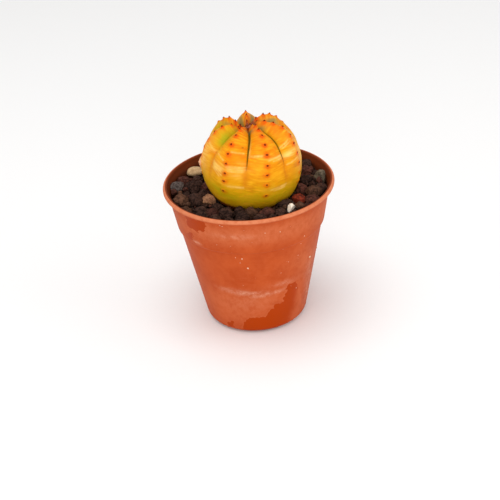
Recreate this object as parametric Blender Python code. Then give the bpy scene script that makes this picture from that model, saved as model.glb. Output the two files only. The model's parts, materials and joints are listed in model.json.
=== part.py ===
"""A ball-shaped ribbed succulent growing in a small plastic nursery pot, under a layer of crushed stone.

Metres, +Z up. The origin is the centre of the pot's foot, on the surface that the pot stands on. -Y is the
front, and an azimuth is measured from the front, positive towards +X.
"""

import math
import random

import bmesh
import bpy
from mathutils import Matrix, Vector

MM = 0.001

# The pot
POT_HEIGHT = 48.0 * MM
RIM_RADIUS = 27.5 * MM
RIM_BEAD_RADIUS = 0.75 * MM
WALL = 0.6 * MM
COLLAR_TOP = (25.9 * MM, 46.0 * MM)
COLLAR_FOOT = (23.9 * MM, 34.75 * MM)
COLLAR_TAPER = (COLLAR_TOP[0] - COLLAR_FOOT[0]) / (COLLAR_TOP[1] - COLLAR_FOOT[1])
BODY_TOP = (23.2 * MM, 34.35 * MM)
BASE_RADIUS = 16.85 * MM
BASE_CORNER_RADIUS = 2.7 * MM
FOOT_RING_INNER_RADIUS = 11.6 * MM
FOOT_RECESS = 0.8 * MM
DRAIN_HOLES = 6
DRAIN_HOLE_RADIUS = 1.8 * MM
DRAIN_CIRCLE_RADIUS = 7.6 * MM
POT_SEGMENTS = 72

# The plant, in its own frame: the centre is on the level where the ball is widest
PLANT_CENTRE = (1.54 * MM, 0.0, 53.85 * MM)
PLANT_LEAN = math.radians(4.2)
BALL_RADIUS = 15.85 * MM
CREST_HEIGHT = 15.3 * MM
CREST_POWER = 2.45
UNDERSIDE_DEPTH = 16.3 * MM
CROWN_PIT_DEPTH = 1.95 * MM
CROWN_PIT_RADIUS = 2.0 * MM
CREST_AZIMUTHS = [math.radians(a) for a in (-82.7, -34.3, 15.3, 68.3, 129.0, 183.0, 232.0)]
FURROW_DEPTH_AT_CROWN = 1.75 * MM
FURROW_DEPTH_AT_WAIST = 0.35 * MM
TAPROOT_RADIUS = 3.6 * MM
TAPROOT_DEPTH = 36.0 * MM
COLUMNS_PER_RIB = 8

# The potting mix under the stones
MIX_TOP = 42.3 * MM
MIX_SLOPE = 0.02
FIT_GAP = 0.3 * MM

# The surface stones. Fillers take the room between the seen ones: each try allows a little more crowding,
# which is the least distance between two centres as a share of their half widths
STONE_COUNT = 57
STONE_DIRECTIONS = 40
STONE_GAP = 0.08 * MM
STONE_FACETS = 10
FACET_JITTER = 0.35
FACET_REACH = (0.8, 1.0)
STONE_FULLNESS = 1.2
NEIGHBOUR_REACH = 1.6
POT_WALL_TURNS = (-14, 0, 14)
FILLER_HALF_WIDTHS = (1.8 * MM, 2.5 * MM)
FILLER_DISTANCES = (14 * MM, 24 * MM)
FILLER_LIFT = 0.5 * MM
CROWDING_START = 1.02
CROWDING_STEP = 0.00004

COLOURS = {
    "pot": ((0.61, 0.20, 0.09), 0.45),
    "plant": ((0.78, 0.42, 0.06), 0.50),
    "mix": ((0.045, 0.032, 0.026), 0.95),
    "lava": ((0.085, 0.062, 0.062), 0.92),
    "plum": ((0.120, 0.068, 0.066), 0.92),
    "brown": ((0.165, 0.098, 0.066), 0.90),
    "grey": ((0.190, 0.175, 0.185), 0.88),
    "grey_green": ((0.170, 0.160, 0.135), 0.88),
    "tan": ((0.480, 0.310, 0.200), 0.85),
    "pale": ((0.660, 0.520, 0.360), 0.70),
    "brick": ((0.330, 0.075, 0.045), 0.88),
    "white": ((0.860, 0.830, 0.780), 0.75),
}

# Name, azimuth in degrees, distance from the pot's axis in mm, half sizes along X, Y and Z in mm, lift off
# the mix in mm, colour. stone_walls trims a stone that reaches past the pot, the plant or its neighbours.
SEEN_STONES = (
    ("pale_pebble", -132, 23.1, (2.70, 2.20, 1.50), 1.3, "pale"),
    ("tan_stone", -62, 14.5, (2.60, 2.00, 1.80), 0.9, "tan"),
    ("grey_stone", -98, 23.5, (2.00, 2.20, 1.95), 1.5, "grey"),
    ("brown_stone_left", -78, 22.3, (2.50, 2.40, 2.10), 0.6, "brown"),
    ("brown_stone_rim", -62, 23.0, (2.40, 1.90, 1.60), 0.0, "brown"),
    ("brown_stone_front", 0, 16.7, (2.40, 1.80, 1.55), 0.3, "brown"),
    ("brown_stone_right", 73, 21.4, (2.90, 2.00, 1.60), 0.6, "brown"),
    ("brick_red_stone", 57, 18.5, (2.30, 2.00, 1.50), 0.7, "brick"),
    ("grey_green_stone", 95, 23.2, (2.00, 2.20, 2.30), 0.9, "grey_green"),
    ("white_shard_1", 34, 22.5, (0.90, 0.75, 1.35), 1.9, "white"),
    ("white_shard_2", 43, 21.6, (0.75, 0.45, 0.60), 2.3, "white"),
    ("plum_stone_01", 16, 18.5, (2.90, 1.85, 1.50), 0.3, "plum"),
    ("plum_stone_02", -114, 23.2, (2.60, 2.30, 1.75), 0.4, "plum"),
    ("plum_stone_03", -40, 18.6, (2.30, 2.20, 1.70), 0.0, "plum"),
    ("plum_stone_04", 59, 22.8, (2.30, 2.00, 1.70), 0.3, "plum"),
    ("plum_stone_05", 47, 23.0, (2.30, 2.10, 1.55), 0.0, "plum"),
    ("plum_stone_06", 80, 17.0, (2.00, 2.20, 1.70), 0.2, "plum"),
    ("plum_stone_07", 115, 21.2, (2.40, 2.20, 1.80), 0.3, "plum"),
    ("lava_stone_01", -102, 18.7, (2.60, 2.30, 2.00), 0.4, "lava"),
    ("lava_stone_02", -89, 20.0, (1.50, 1.60, 1.40), 0.4, "lava"),
    ("lava_stone_03", -70, 17.8, (2.30, 2.60, 2.20), 0.3, "lava"),
    ("lava_stone_04", -52, 19.9, (2.30, 2.30, 1.80), 0.0, "lava"),
    ("lava_stone_05", -26, 17.6, (2.40, 2.30, 1.80), 0.2, "lava"),
    ("lava_stone_06", -44, 14.9, (1.70, 1.50, 1.50), 0.2, "lava"),
    ("lava_stone_07", -14, 15.4, (1.80, 1.50, 1.50), 0.2, "lava"),
    ("lava_stone_08", -9, 18.9, (2.30, 2.10, 1.80), 0.1, "lava"),
    ("lava_stone_09", 26, 20.8, (1.90, 1.90, 1.70), 0.1, "lava"),
    ("lava_stone_10", 39, 17.8, (2.20, 2.20, 1.90), 0.4, "lava"),
    ("lava_stone_11", 35, 23.0, (1.90, 1.90, 1.50), 0.0, "lava"),
    ("lava_stone_12", 96, 18.9, (2.20, 2.20, 1.90), 0.2, "lava"),
    ("lava_stone_13", 124, 23.2, (2.40, 2.20, 1.90), 0.5, "lava"),
    ("lava_stone_14", 82, 23.4, (1.90, 1.90, 1.60), 0.1, "lava"),
    ("lava_stone_15", 137, 23.0, (2.20, 2.20, 1.80), 0.4, "lava"),
    ("lava_stone_16", -121, 19.4, (1.90, 1.90, 1.50), 0.2, "lava"),
    ("lava_stone_17", 7, 21.2, (2.20, 2.20, 1.60), 0.0, "lava"),
    ("lava_stone_18", -31, 21.9, (2.20, 2.20, 1.60), 0.0, "lava"),
    ("lava_stone_19", -19, 21.9, (2.00, 2.00, 1.60), 0.0, "lava"),
)


def clear_scene():
    for obj in list(bpy.data.objects):
        bpy.data.objects.remove(obj)


def finish_of(name):
    """A material with the base colour and roughness of one of the object's finishes."""
    material = bpy.data.materials.get(name) or bpy.data.materials.new(name)
    material.use_nodes = True
    colour, roughness = COLOURS[name]
    shader = material.node_tree.nodes["Principled BSDF"]
    shader.inputs["Base Color"].default_value = (*colour, 1.0)
    shader.inputs["Roughness"].default_value = roughness
    shader.inputs["Metallic"].default_value = 0.0
    return material


def add_object(name, bm, finish, sharp_angle=None):
    mesh = bpy.data.meshes.new(name)
    bm.to_mesh(mesh)
    bm.free()
    if sharp_angle is not None:
        mesh.shade_smooth()
        mesh.set_sharp_from_angle(angle=sharp_angle)
    obj = bpy.data.objects.new(name, mesh)
    bpy.context.scene.collection.objects.link(obj)
    mesh.materials.append(finish_of(finish))
    return obj


def around(azimuth, radius, z):
    """The point at that azimuth and distance from the axis."""
    return Vector((radius * math.sin(azimuth), -radius * math.cos(azimuth), z))


def loft(bm, start, rings, end):
    """One closed skin from the point start, through rings of as many points each, to the point end."""
    first = bm.verts.new(start)
    last = bm.verts.new(end)
    loops = [[bm.verts.new(p) for p in ring] for ring in rings]
    count = len(loops[0])
    for j in range(count):
        k = (j + 1) % count
        bm.faces.new((first, loops[0][k], loops[0][j]))
        for lower, upper in zip(loops, loops[1:]):
            bm.faces.new((lower[j], lower[k], upper[k], upper[j]))
        bm.faces.new((last, loops[-1][j], loops[-1][k]))


def arc(centre, radius, start, end, steps):
    """Points (r, z) along an arc in the turned profile, with angles in degrees from the outward direction."""
    angles = [math.radians(start + (end - start) * i / steps) for i in range(steps + 1)]
    return [(centre[0] + radius * math.cos(a), centre[1] + radius * math.sin(a)) for a in angles]


def inner_wall():
    """The inside of the pot's wall as (r, z) points, from the floor up to where the rim begins."""
    floor = FOOT_RECESS + WALL
    corner = BASE_CORNER_RADIUS - WALL
    corner_centre = (BASE_RADIUS - BASE_CORNER_RADIUS, floor + corner)
    return [
        *arc(corner_centre, corner, -90, -10, 3),
        (BODY_TOP[0] - WALL, BODY_TOP[1] + 0.3 * WALL),
        (COLLAR_FOOT[0] - WALL, COLLAR_FOOT[1] + 0.3 * WALL),
        (COLLAR_TOP[0] - WALL, COLLAR_TOP[1] - 0.5 * WALL),
    ]


def inner_radius(z):
    """The pot's inside radius at a height."""
    wall = inner_wall()
    for (r0, z0), (r1, z1) in zip(wall, wall[1:]):
        if z0 <= z <= z1:
            return r0 + (r1 - r0) * (z - z0) / (z1 - z0)
    return wall[0][0] if z < wall[0][1] else wall[-1][0]


def make_pot():
    """The moulded pot: foot ring, round base, tapered wall, stepped collar, rolled rim and drain holes."""
    base_centre = (BASE_RADIUS - BASE_CORNER_RADIUS, BASE_CORNER_RADIUS)
    bead_centre = (RIM_RADIUS - RIM_BEAD_RADIUS, POT_HEIGHT - RIM_BEAD_RADIUS)
    recess_slope = 0.5 * MM
    step_fillet = 0.12 * MM
    profile = [
        (FOOT_RING_INNER_RADIUS - recess_slope, FOOT_RECESS),
        (FOOT_RING_INNER_RADIUS, 0.0),
        *arc(base_centre, BASE_CORNER_RADIUS, -90, -10, 5),
        (BODY_TOP[0], BODY_TOP[1] - step_fillet),
        (BODY_TOP[0] + step_fillet, BODY_TOP[1]),
        (COLLAR_FOOT[0] - step_fillet, COLLAR_FOOT[1] - step_fillet),
        (COLLAR_FOOT[0], COLLAR_FOOT[1] + step_fillet),
        COLLAR_TOP,
        *arc(bead_centre, RIM_BEAD_RADIUS, -120, 180, 10),
        *reversed(inner_wall()),
    ]
    turn = math.tau / POT_SEGMENTS
    rings = [[around(turn * j, r, z) for j in range(POT_SEGMENTS)] for r, z in profile]
    bm = bmesh.new()
    loft(bm, (0, 0, FOOT_RECESS), rings, (0, 0, FOOT_RECESS + WALL))
    pot = add_object("pot", bm, "pot", sharp_angle=math.radians(40))

    cutters = bmesh.new()
    for i in range(DRAIN_HOLES):
        place = around(math.tau * (i + 0.5) / DRAIN_HOLES, DRAIN_CIRCLE_RADIUS, FOOT_RECESS + WALL / 2)
        bmesh.ops.create_cone(
            cutters,
            cap_ends=True,
            segments=16,
            radius1=DRAIN_HOLE_RADIUS,
            radius2=DRAIN_HOLE_RADIUS,
            depth=4 * WALL,
            matrix=Matrix.Translation(place),
        )
    drain = add_object("drain_hole_cutters", cutters, "pot")
    drain.hide_render = True
    drain.display_type = "WIRE"
    cut = pot.modifiers.new("drain_holes", "BOOLEAN")
    cut.operation = "DIFFERENCE"
    cut.solver = "EXACT"
    cut.object = drain


def smooth(low, high, value):
    """0 below low, 1 above high, and an even rise between them."""
    x = min(max((value - low) / (high - low), 0.0), 1.0)
    return x * x * (3 - 2 * x)


def plant_stations():
    """(r, z, furrow depth, furrow sharpness) of the rib crests, from the crown to the end of the taproot."""
    stations = []
    for degrees in (3, 6, 9, 12, 16, 21, 27, 34, 42, 50, 58, 66, 74, 82, 90):
        t = math.radians(degrees)
        across = math.sin(t) / BALL_RADIUS
        up = math.cos(t) / CREST_HEIGHT
        reach = (across**CREST_POWER + up**CREST_POWER) ** (-1 / CREST_POWER)
        r = reach * math.sin(t)
        z = reach * math.cos(t) - CROWN_PIT_DEPTH * math.exp(-((r / CROWN_PIT_RADIUS) ** 2))
        waist = smooth(25, 90, degrees)
        depth = smooth(0, 16, degrees) * (FURROW_DEPTH_AT_CROWN * (1 - waist) + FURROW_DEPTH_AT_WAIST * waist)
        stations.append((r, z, depth, 3 + 5 * waist))
    below = (3, 6, 8.5, 10.5, 12.2, 13.8, 15, 16, 18.5, 23, 31, 35)
    for down in (d * MM for d in below):
        ball = max(1 - (down / UNDERSIDE_DEPTH) ** 2, 0.0) ** 0.5 * BALL_RADIUS
        root = TAPROOT_RADIUS * (1 - down / TAPROOT_DEPTH) ** 0.7
        r = (ball**4 + root**4) ** 0.25
        depth = FURROW_DEPTH_AT_WAIST * (1 - smooth(0, 10 * MM, down))
        stations.append((r, -down, depth, 8))
    return stations


def rib_columns():
    """(azimuth, share of the way from the rib's crest to its furrow) for each column of points."""
    half = COLUMNS_PER_RIB // 2
    columns = []
    for i, azimuth in enumerate(CREST_AZIMUTHS):
        following = CREST_AZIMUTHS[(i + 1) % len(CREST_AZIMUTHS)]
        span = (following - azimuth) % math.tau
        for j in range(COLUMNS_PER_RIB):
            share = 1 - abs(1 - j / half)
            eased = math.sin(share * math.pi / 2) ** 0.9
            across = eased / 2 if j <= half else 1 - eased / 2
            columns.append((azimuth + span * across, eased))
    return columns


def make_plant():
    """The ribbed ball with its sunken crown, and the neck and taproot that hold it in the mix, in one body."""
    columns = rib_columns()
    stations = plant_stations()
    rings = []
    for r, z, depth, sharpness in reversed(stations):
        slope = Vector((r / BALL_RADIUS**2, z / CREST_HEIGHT**2)).normalized()
        ring = []
        for azimuth, share in columns:
            drop = depth * share**sharpness
            ring.append(around(azimuth, r - drop * slope.x, z - drop * slope.y))
        rings.append(ring)
    bm = bmesh.new()
    loft(bm, (0, 0, -TAPROOT_DEPTH), rings, (0, 0, CREST_HEIGHT - CROWN_PIT_DEPTH))
    plant = add_object("plant", bm, "plant", sharp_angle=math.radians(60))
    plant.location = PLANT_CENTRE
    plant.rotation_euler = (0, PLANT_LEAN, 0)


def plant_axis(z):
    """Where the plant's leaning axis crosses a height."""
    return Vector((PLANT_CENTRE[0] + (z - PLANT_CENTRE[2]) * math.tan(PLANT_LEAN), PLANT_CENTRE[1], z))


def plant_radius(z):
    """The ball's radius where it crosses a height under its widest level."""
    down = max(PLANT_CENTRE[2] - z, 0.0)
    return BALL_RADIUS * max(1 - (down / UNDERSIDE_DEPTH) ** 2, 0.0) ** 0.5


def bed_level(x, y):
    """The height of the mix's top, which is a little lower at the back left."""
    return MIX_TOP + MIX_SLOPE * (x - y)


def make_potting_mix():
    """The packed mix under the stones: it fills the pot, and the plant's underside and taproot sit in it."""
    columns = rib_columns()
    azimuths = [azimuth for azimuth, share in columns]
    floor = FOOT_RECESS + WALL + FIT_GAP
    side = [(r - FIT_GAP, z) for r, z in inner_wall() if floor < z < MIX_TOP - 2 * MM]
    lean = Matrix.Rotation(PLANT_LEAN, 3, "Y")
    rings = [[around(a, r, z) for a in azimuths] for r, z in [(side[0][0] - 1.2 * MM, floor), *side]]

    edge = []
    for a in azimuths:
        point = around(a, inner_radius(MIX_TOP) - 2.5 * FIT_GAP, 0)
        edge.append(Vector((point.x, point.y, bed_level(point.x, point.y))))
    rings.append(edge)

    pocket = []
    for r, z, depth, sharpness in plant_stations():
        if z < MIX_TOP - PLANT_CENTRE[2] - 2 * FIT_GAP:
            ring = [lean @ around(a, r + FIT_GAP, z - FIT_GAP) for a in azimuths]
            pocket.append([Vector(PLANT_CENTRE) + point for point in ring])
    mouth = []
    for a in azimuths:
        lip = plant_axis(MIX_TOP) + around(a, plant_radius(MIX_TOP + 3 * FIT_GAP) + 2 * FIT_GAP, 0)
        mouth.append(Vector((lip.x, lip.y, bed_level(lip.x, lip.y))))
    tip = Vector(PLANT_CENTRE) + lean @ Vector((0, 0, -TAPROOT_DEPTH - 3 * FIT_GAP))
    bm = bmesh.new()
    loft(bm, (0, 0, floor), [*rings, mouth, *pocket], tip)
    add_object("potting_mix", bm, "mix", sharp_angle=math.radians(50))


def half_width(half):
    """A stone's half width over the mix, from its half sizes."""
    return math.sqrt(half.x * half.y)


def placed_stones():
    """(name, centre, half sizes, colour) of each stone: the seen ones, then fillers where there is room."""
    stones = []
    for name, azimuth, distance, half_sizes, lift, colour in SEEN_STONES:
        half = Vector(half_sizes) * MM
        centre = around(math.radians(azimuth), distance * MM, 0)
        centre.z = bed_level(centre.x, centre.y) + FIT_GAP + half.z + lift * MM
        stones.append((name, centre, half, colour))
    number = sum(name.startswith("lava_stone") for name, *rest in SEEN_STONES)
    pick = random.Random(11)
    crowding = CROWDING_START
    while len(stones) < STONE_COUNT:
        crowding -= CROWDING_STEP
        w = pick.uniform(*FILLER_HALF_WIDTHS)
        half = Vector((w * pick.uniform(0.9, 1.15), w, w * pick.uniform(0.75, 0.95)))
        centre = around(pick.uniform(-math.pi, math.pi), pick.uniform(*FILLER_DISTANCES), 0)
        centre.z = bed_level(centre.x, centre.y) + FIT_GAP + half.z + pick.uniform(0, FILLER_LIFT)
        from_plant = (centre - plant_axis(centre.z)).length
        if centre.xy.length + 0.9 * w > inner_radius(centre.z):
            continue
        if from_plant - 0.9 * w < plant_radius(centre.z + half.z):
            continue
        if any((centre - c).length < crowding * (w + half_width(other)) for _, c, other, _ in stones):
            continue
        number += 1
        colour = pick.choice(("lava", "lava", "plum"))
        stones.append((f"lava_stone_{number:02d}", centre, half, colour))
    return stones


def even_directions(count):
    """Unit vectors spread evenly over the sphere."""
    golden = math.pi * (3 - math.sqrt(5))
    directions = []
    for i in range(count):
        z = 1 - 2 * (i + 0.5) / count
        r = math.sqrt(1 - z * z)
        directions.append(Vector((r * math.cos(golden * i), r * math.sin(golden * i), z)))
    return directions


def stone_walls(index, stones):
    """The planes that shut a stone in, as (outward normal, distance from its centre)."""
    name, centre, half, colour = stones[index]
    w = half_width(half)
    walls = [(Vector((0, 0, -1)), centre.z - bed_level(centre.x, centre.y) - FIT_GAP)]
    for i, (_, other, other_half, _) in enumerate(stones):
        across = other - centre
        other_w = half_width(other_half)
        if i == index or across.length > NEIGHBOUR_REACH * (w + other_w):
            continue
        share = (across.length_squared + w * w - other_w * other_w) / (2 * across.length)
        walls.append((across.normalized(), share - STONE_GAP))
    out = Vector((centre.x, centre.y, 0)).normalized()
    room = inner_radius(centre.z) - FIT_GAP
    for turn in POT_WALL_TURNS:
        level = Matrix.Rotation(math.radians(turn), 3, "Z") @ out
        slanted = (level - Vector((0, 0, COLLAR_TAPER))).normalized()
        walls.append((slanted, (room - centre.dot(level)) * slanted.dot(level)))
    top = centre.z + half.z
    inward = plant_axis(top) - Vector((centre.x, centre.y, top))
    walls.append((inward.normalized(), inward.length - plant_radius(top) - FIT_GAP))
    return walls


def make_stones():
    """Crushed stones as faceted solids, each shut in by its neighbours, the pot, the plant and the mix."""
    stones = placed_stones()
    for index, (name, centre, half, colour) in enumerate(stones):
        pick = random.Random(100 + index)
        walls = stone_walls(index, stones)
        waterworn = colour == "pale"
        if not waterworn:
            for direction in even_directions(STONE_FACETS):
                jitter = Vector([pick.uniform(-FACET_JITTER, FACET_JITTER) for _ in range(3)])
                normal = (direction + jitter).normalized()
                reach = Vector((half.x * normal.x, half.y * normal.y, half.z * normal.z)).length
                walls.append((normal, reach * pick.uniform(*FACET_REACH)))
        bm = bmesh.new()
        for direction in even_directions(STONE_DIRECTIONS):
            size = Vector((direction.x / half.x, direction.y / half.y, direction.z / half.z))
            reach = STONE_FULLNESS / size.length
            for normal, distance in walls:
                facing = direction.dot(normal)
                if facing > 0:
                    reach = min(reach, distance / facing)
            bm.verts.new(direction * reach)
        hull = bmesh.ops.convex_hull(bm, input=bm.verts)
        loose = {v for v in hull["geom_interior"] + hull["geom_unused"] if isinstance(v, bmesh.types.BMVert)}
        bmesh.ops.delete(bm, geom=list(loose), context="VERTS")
        bmesh.ops.dissolve_limit(bm, angle_limit=math.radians(3), verts=bm.verts, edges=bm.edges)
        bmesh.ops.triangulate(bm, faces=bm.faces)
        bmesh.ops.recalc_face_normals(bm, faces=bm.faces)
        stone = add_object(name, bm, colour, sharp_angle=math.radians(60 if waterworn else 25))
        stone.location = centre


clear_scene()
make_pot()
make_plant()
make_potting_mix()
make_stones()
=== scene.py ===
"""The looks of a ball-shaped ribbed succulent in a small plastic nursery pot, under crushed volcanic stone.

Metres, +Z up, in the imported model's frame: the origin is the centre of the pot's foot and -Y is the front. Shapes
are worked out in millimetres and scaled by MM as each mesh is made. An azimuth is measured from the front,
positive towards +X.
"""

import json
import math
import random

import bmesh
import bpy
import numpy as np
from mathutils import Matrix, Vector, noise
from mathutils.bvhtree import BVHTree


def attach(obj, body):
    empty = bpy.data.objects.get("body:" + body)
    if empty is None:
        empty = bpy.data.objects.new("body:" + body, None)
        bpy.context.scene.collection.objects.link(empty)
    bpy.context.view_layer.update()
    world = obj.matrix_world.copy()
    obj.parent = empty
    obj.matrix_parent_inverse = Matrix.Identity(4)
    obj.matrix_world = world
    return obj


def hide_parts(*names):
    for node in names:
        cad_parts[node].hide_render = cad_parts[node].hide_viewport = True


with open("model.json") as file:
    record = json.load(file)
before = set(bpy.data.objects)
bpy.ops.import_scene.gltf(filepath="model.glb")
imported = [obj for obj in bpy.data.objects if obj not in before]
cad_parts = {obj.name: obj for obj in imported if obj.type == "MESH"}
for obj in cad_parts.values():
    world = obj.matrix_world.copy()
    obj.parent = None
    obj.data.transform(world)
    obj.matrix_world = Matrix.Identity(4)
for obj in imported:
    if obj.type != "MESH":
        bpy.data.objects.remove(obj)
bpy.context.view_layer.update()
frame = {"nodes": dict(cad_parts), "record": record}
MM = 0.001

# The camera, where the photographer stood: above the rim and tilted a little, so the pot leans to the left in
# the picture. The lens is a 36 mm wide frame's.
CAMERA_ELEVATION = math.radians(30.386)
CAMERA_ROLL = math.radians(4.151)
CAMERA_DISTANCE = 396.83 * MM
CAMERA_TARGET = Vector((-1.087, 0.0, 22.083)) * MM
CAMERA_LENS = 86.4

camera = bpy.data.objects.new("camera", bpy.data.cameras.new("camera"))
camera.data.sensor_width = 36.0
camera.data.lens = CAMERA_LENS
camera.data.clip_start = 0.01
bpy.context.scene.collection.objects.link(camera)
away = Vector((0.0, -math.cos(CAMERA_ELEVATION), math.sin(CAMERA_ELEVATION)))
camera.matrix_world = (
    Matrix.Translation(CAMERA_TARGET + away * CAMERA_DISTANCE)
    @ Matrix.Rotation(math.pi / 2 - CAMERA_ELEVATION, 4, "X")
    @ Matrix.Rotation(-CAMERA_ROLL, 4, "Z")
)
bpy.context.scene.camera = camera

# The pot: one thin moulding of orange-brown plastic with a rolled rim, a stepped collar, a tapered wall, a round
# base on a foot ring, and six drain holes. Watering has left clean wet patches and a dull film of dried lime.
POT_HEIGHT = 48.0
RIM_RADIUS = 27.5
RIM_BEAD = 0.75
WALL = 0.6
COLLAR_TOP = (25.9, 46.0)
COLLAR_FOOT = (23.9, 34.75)
BODY_TOP = (23.2, 34.35)
STEP_FILLET = 0.12
BASE_RADIUS = 16.85
BASE_CORNER = 2.7
FOOT_RING_INNER = 11.6
FOOT_RECESS = 0.8
DRAIN_HOLES = 6
DRAIN_HOLE_RADIUS = 1.8
DRAIN_CIRCLE = 7.6
POT_SEGMENTS = 252
POT_POINT_SPACING = 0.55

# Outlines of the wet patches, as (azimuth in degrees, height in mm) on the outside of the wall
WET_PATCHES = {
    "lower_right": (
        (-19, -3), (-18.5, 1), (-17.3, 3.6), (-13, 5.9), (-6, 7.3), (1, 7.0), (8.4, 7.5), (14, 9.7), (19, 11.5),
        (24, 11.8), (27.5, 12.3), (28.2, 14.7), (30.3, 17.4), (34.7, 18.7), (39.8, 18.2), (44, 16), (50, 11),
        (55, 6), (52, 3), (43, -3),
    ),
    "upper_left": ((-52, 46), (-52, 41.2), (-48, 40.8), (-44, 40.9), (-39.5, 41.2), (-34, 43.2), (-32, 44.6), (-36, 46)),
    "under_the_patch": ((-57, 37.3), (-56.5, 36), (-52, 35.9), (-49.4, 36.6), (-48.7, 38.4), (-51, 39.1), (-54.5, 38.8)),
    "drip_at_the_base": ((-37.5, 2.4), (-34, 4.0), (-29.4, 4.4), (-28.6, 2.4), (-30, 0.5), (-36, 0.5)),
    "back": ((128, 9), (140, 12), (152, 20), (166, 22), (177, 17), (186, 9), (196, 3), (190, -3), (130, -3), (124, 3)),
    "back_collar": ((201, 46), (203, 42.5), (210, 41.5), (219, 43), (224, 46)),
}
# Soft clouds of dried lime and of dust: (azimuth, height, half width in mm, half height in mm, strength)
LIME_CLOUDS = (
    (-2.5, 17.8, 3.2, 0.6, 0.60), (-14, 17.6, 5.0, 0.7, 0.50), (-24, 18.6, 4.5, 0.8, 0.40), (14, 16.9, 5.5, 0.8, 0.55),
    (27, 19.6, 4.5, 1.2, 0.40), (4, 16.2, 4.0, 0.6, 0.40), (-5, 13, 9.0, 4.0, 0.10), (62, 20, 3.0, 6.0, 0.45), (68, 10, 3.0, 7.0, 0.5),
    (-46.5, 35.9, 1.6, 0.5, 1.0), (-13, 41.3, 6.0, 0.9, 0.35), (150, 24, 9.0, 2.0, 0.5), (-120, 15, 8.0, 2.5, 0.5),
    (100, 30, 5.0, 3.0, 0.3), (-95, 33, 5.0, 1.5, 0.35), (215, 27, 6.0, 2.0, 0.4),
)
DUST_CLOUDS = (
    (-25, 8, 13.0, 8.0, 0.55), (40, 27, 9.0, 7.0, 0.40), (0, 41.5, 34.0, 4.0, 1.0), (70, 38, 8.0, 6.0, 0.5),
    (-60, 18, 7.0, 12.0, 0.2), (0, 15, 14.0, 4.0, 0.45), (120, 25, 12.0, 15.0, 0.4), (-110, 20, 12.0, 14.0, 0.4),
    (180, 40, 34.0, 4.5, 0.9), (200, 14, 12.0, 8.0, 0.45), (52, 24, 5.0, 9.0, 0.35),
)
# Where a wet patch has begun to dry, so that its edge is soft
DRYING_CLOUDS = ((54, 13, 3.6, 8.0, 1.0), (47, 3, 4.0, 4.0, 0.5), (182, 15, 4.0, 7.0, 0.9))


def arc(centre, radius, start, end, steps):
    """Points (r, z) along an arc in the turned profile, with angles in degrees from the outward direction."""
    angles = [math.radians(start + (end - start) * i / steps) for i in range(steps + 1)]
    return [(centre[0] + radius * math.cos(a), centre[1] + radius * math.sin(a)) for a in angles]


def spaced(points, spacing):
    """The same outline with points added wherever two are further apart than the spacing."""
    filled = [points[0]]
    for (r0, z0), (r1, z1) in zip(points, points[1:]):
        count = max(1, math.ceil(math.hypot(r1 - r0, z1 - z0) / spacing))
        filled += [(r0 + (r1 - r0) * i / count, z0 + (z1 - z0) * i / count) for i in range(1, count + 1)]
    return filled


def around(azimuth, radius, z):
    """The point at that azimuth and distance from the pot's axis."""
    return Vector((radius * math.sin(azimuth), -radius * math.cos(azimuth), z))


def closed_skin(bm, rings):
    """Faces between rings of as many vertices each, closed at both ends by a fan when the ring is one vertex."""
    for lower, upper in zip(rings, rings[1:]):
        count = max(len(lower), len(upper))
        for j in range(count):
            k = (j + 1) % count
            if len(lower) == 1:
                bm.faces.new((lower[0], upper[k], upper[j]))
            elif len(upper) == 1:
                bm.faces.new((lower[j], lower[k], upper[0]))
            else:
                bm.faces.new((lower[j], lower[k], upper[k], upper[j]))


def add_piece(name, bm, sharp_degrees=None):
    """A mesh object in metres from a bmesh in millimetres, shaded smooth up to the given edge angle."""
    bmesh.ops.scale(bm, vec=(MM, MM, MM), verts=bm.verts)
    mesh = bpy.data.meshes.new(name)
    bm.to_mesh(mesh)
    bm.free()
    mesh.shade_smooth()
    if sharp_degrees is not None:
        mesh.set_sharp_from_angle(angle=math.radians(sharp_degrees))
    piece = bpy.data.objects.new(name, mesh)
    bpy.context.scene.collection.objects.link(piece)
    return piece


def places(mesh):
    """The mesh's vertices in millimetres, one row each."""
    flat = np.empty(len(mesh.vertices) * 3)
    mesh.vertices.foreach_get("co", flat)
    return flat.reshape(-1, 3) / MM


def add_field(mesh, name, values):
    """A number stored on each vertex, which the piece's material reads by name."""
    mesh.attributes.new(name, "FLOAT", "POINT").data.foreach_set("value", np.asarray(values, np.float32))


def inside_distance(x, y, outline):
    """How far each point lies inside a closed outline, in the outline's own unit; negative outside it."""
    nearest = np.full(x.shape, np.inf)
    inside = np.zeros(x.shape, bool)
    for (x0, y0), (x1, y1) in zip(outline, outline[1:] + outline[:1]):
        dx, dy = x1 - x0, y1 - y0
        share = np.clip(((x - x0) * dx + (y - y0) * dy) / (dx * dx + dy * dy), 0, 1)
        nearest = np.minimum(nearest, np.hypot(x - x0 - share * dx, y - y0 - share * dy))
        crosses = (y0 > y) != (y1 > y)
        if dy:
            inside ^= crosses & (x < x0 + (y - y0) * dx / dy)
    return np.where(inside, nearest, -nearest)


def clouds(azimuth, height, radius, blobs):
    """The sum of soft round blobs on a turned surface, from their (azimuth, height, half sizes, strength)."""
    total = np.zeros(azimuth.shape)
    for centre, level, half_width, half_height, strength in blobs:
        apart = (azimuth - math.radians(centre) + math.pi) % math.tau - math.pi
        total += strength * np.exp(-((apart * radius / half_width) ** 2) - ((height - level) / half_height) ** 2)
    return total


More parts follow.
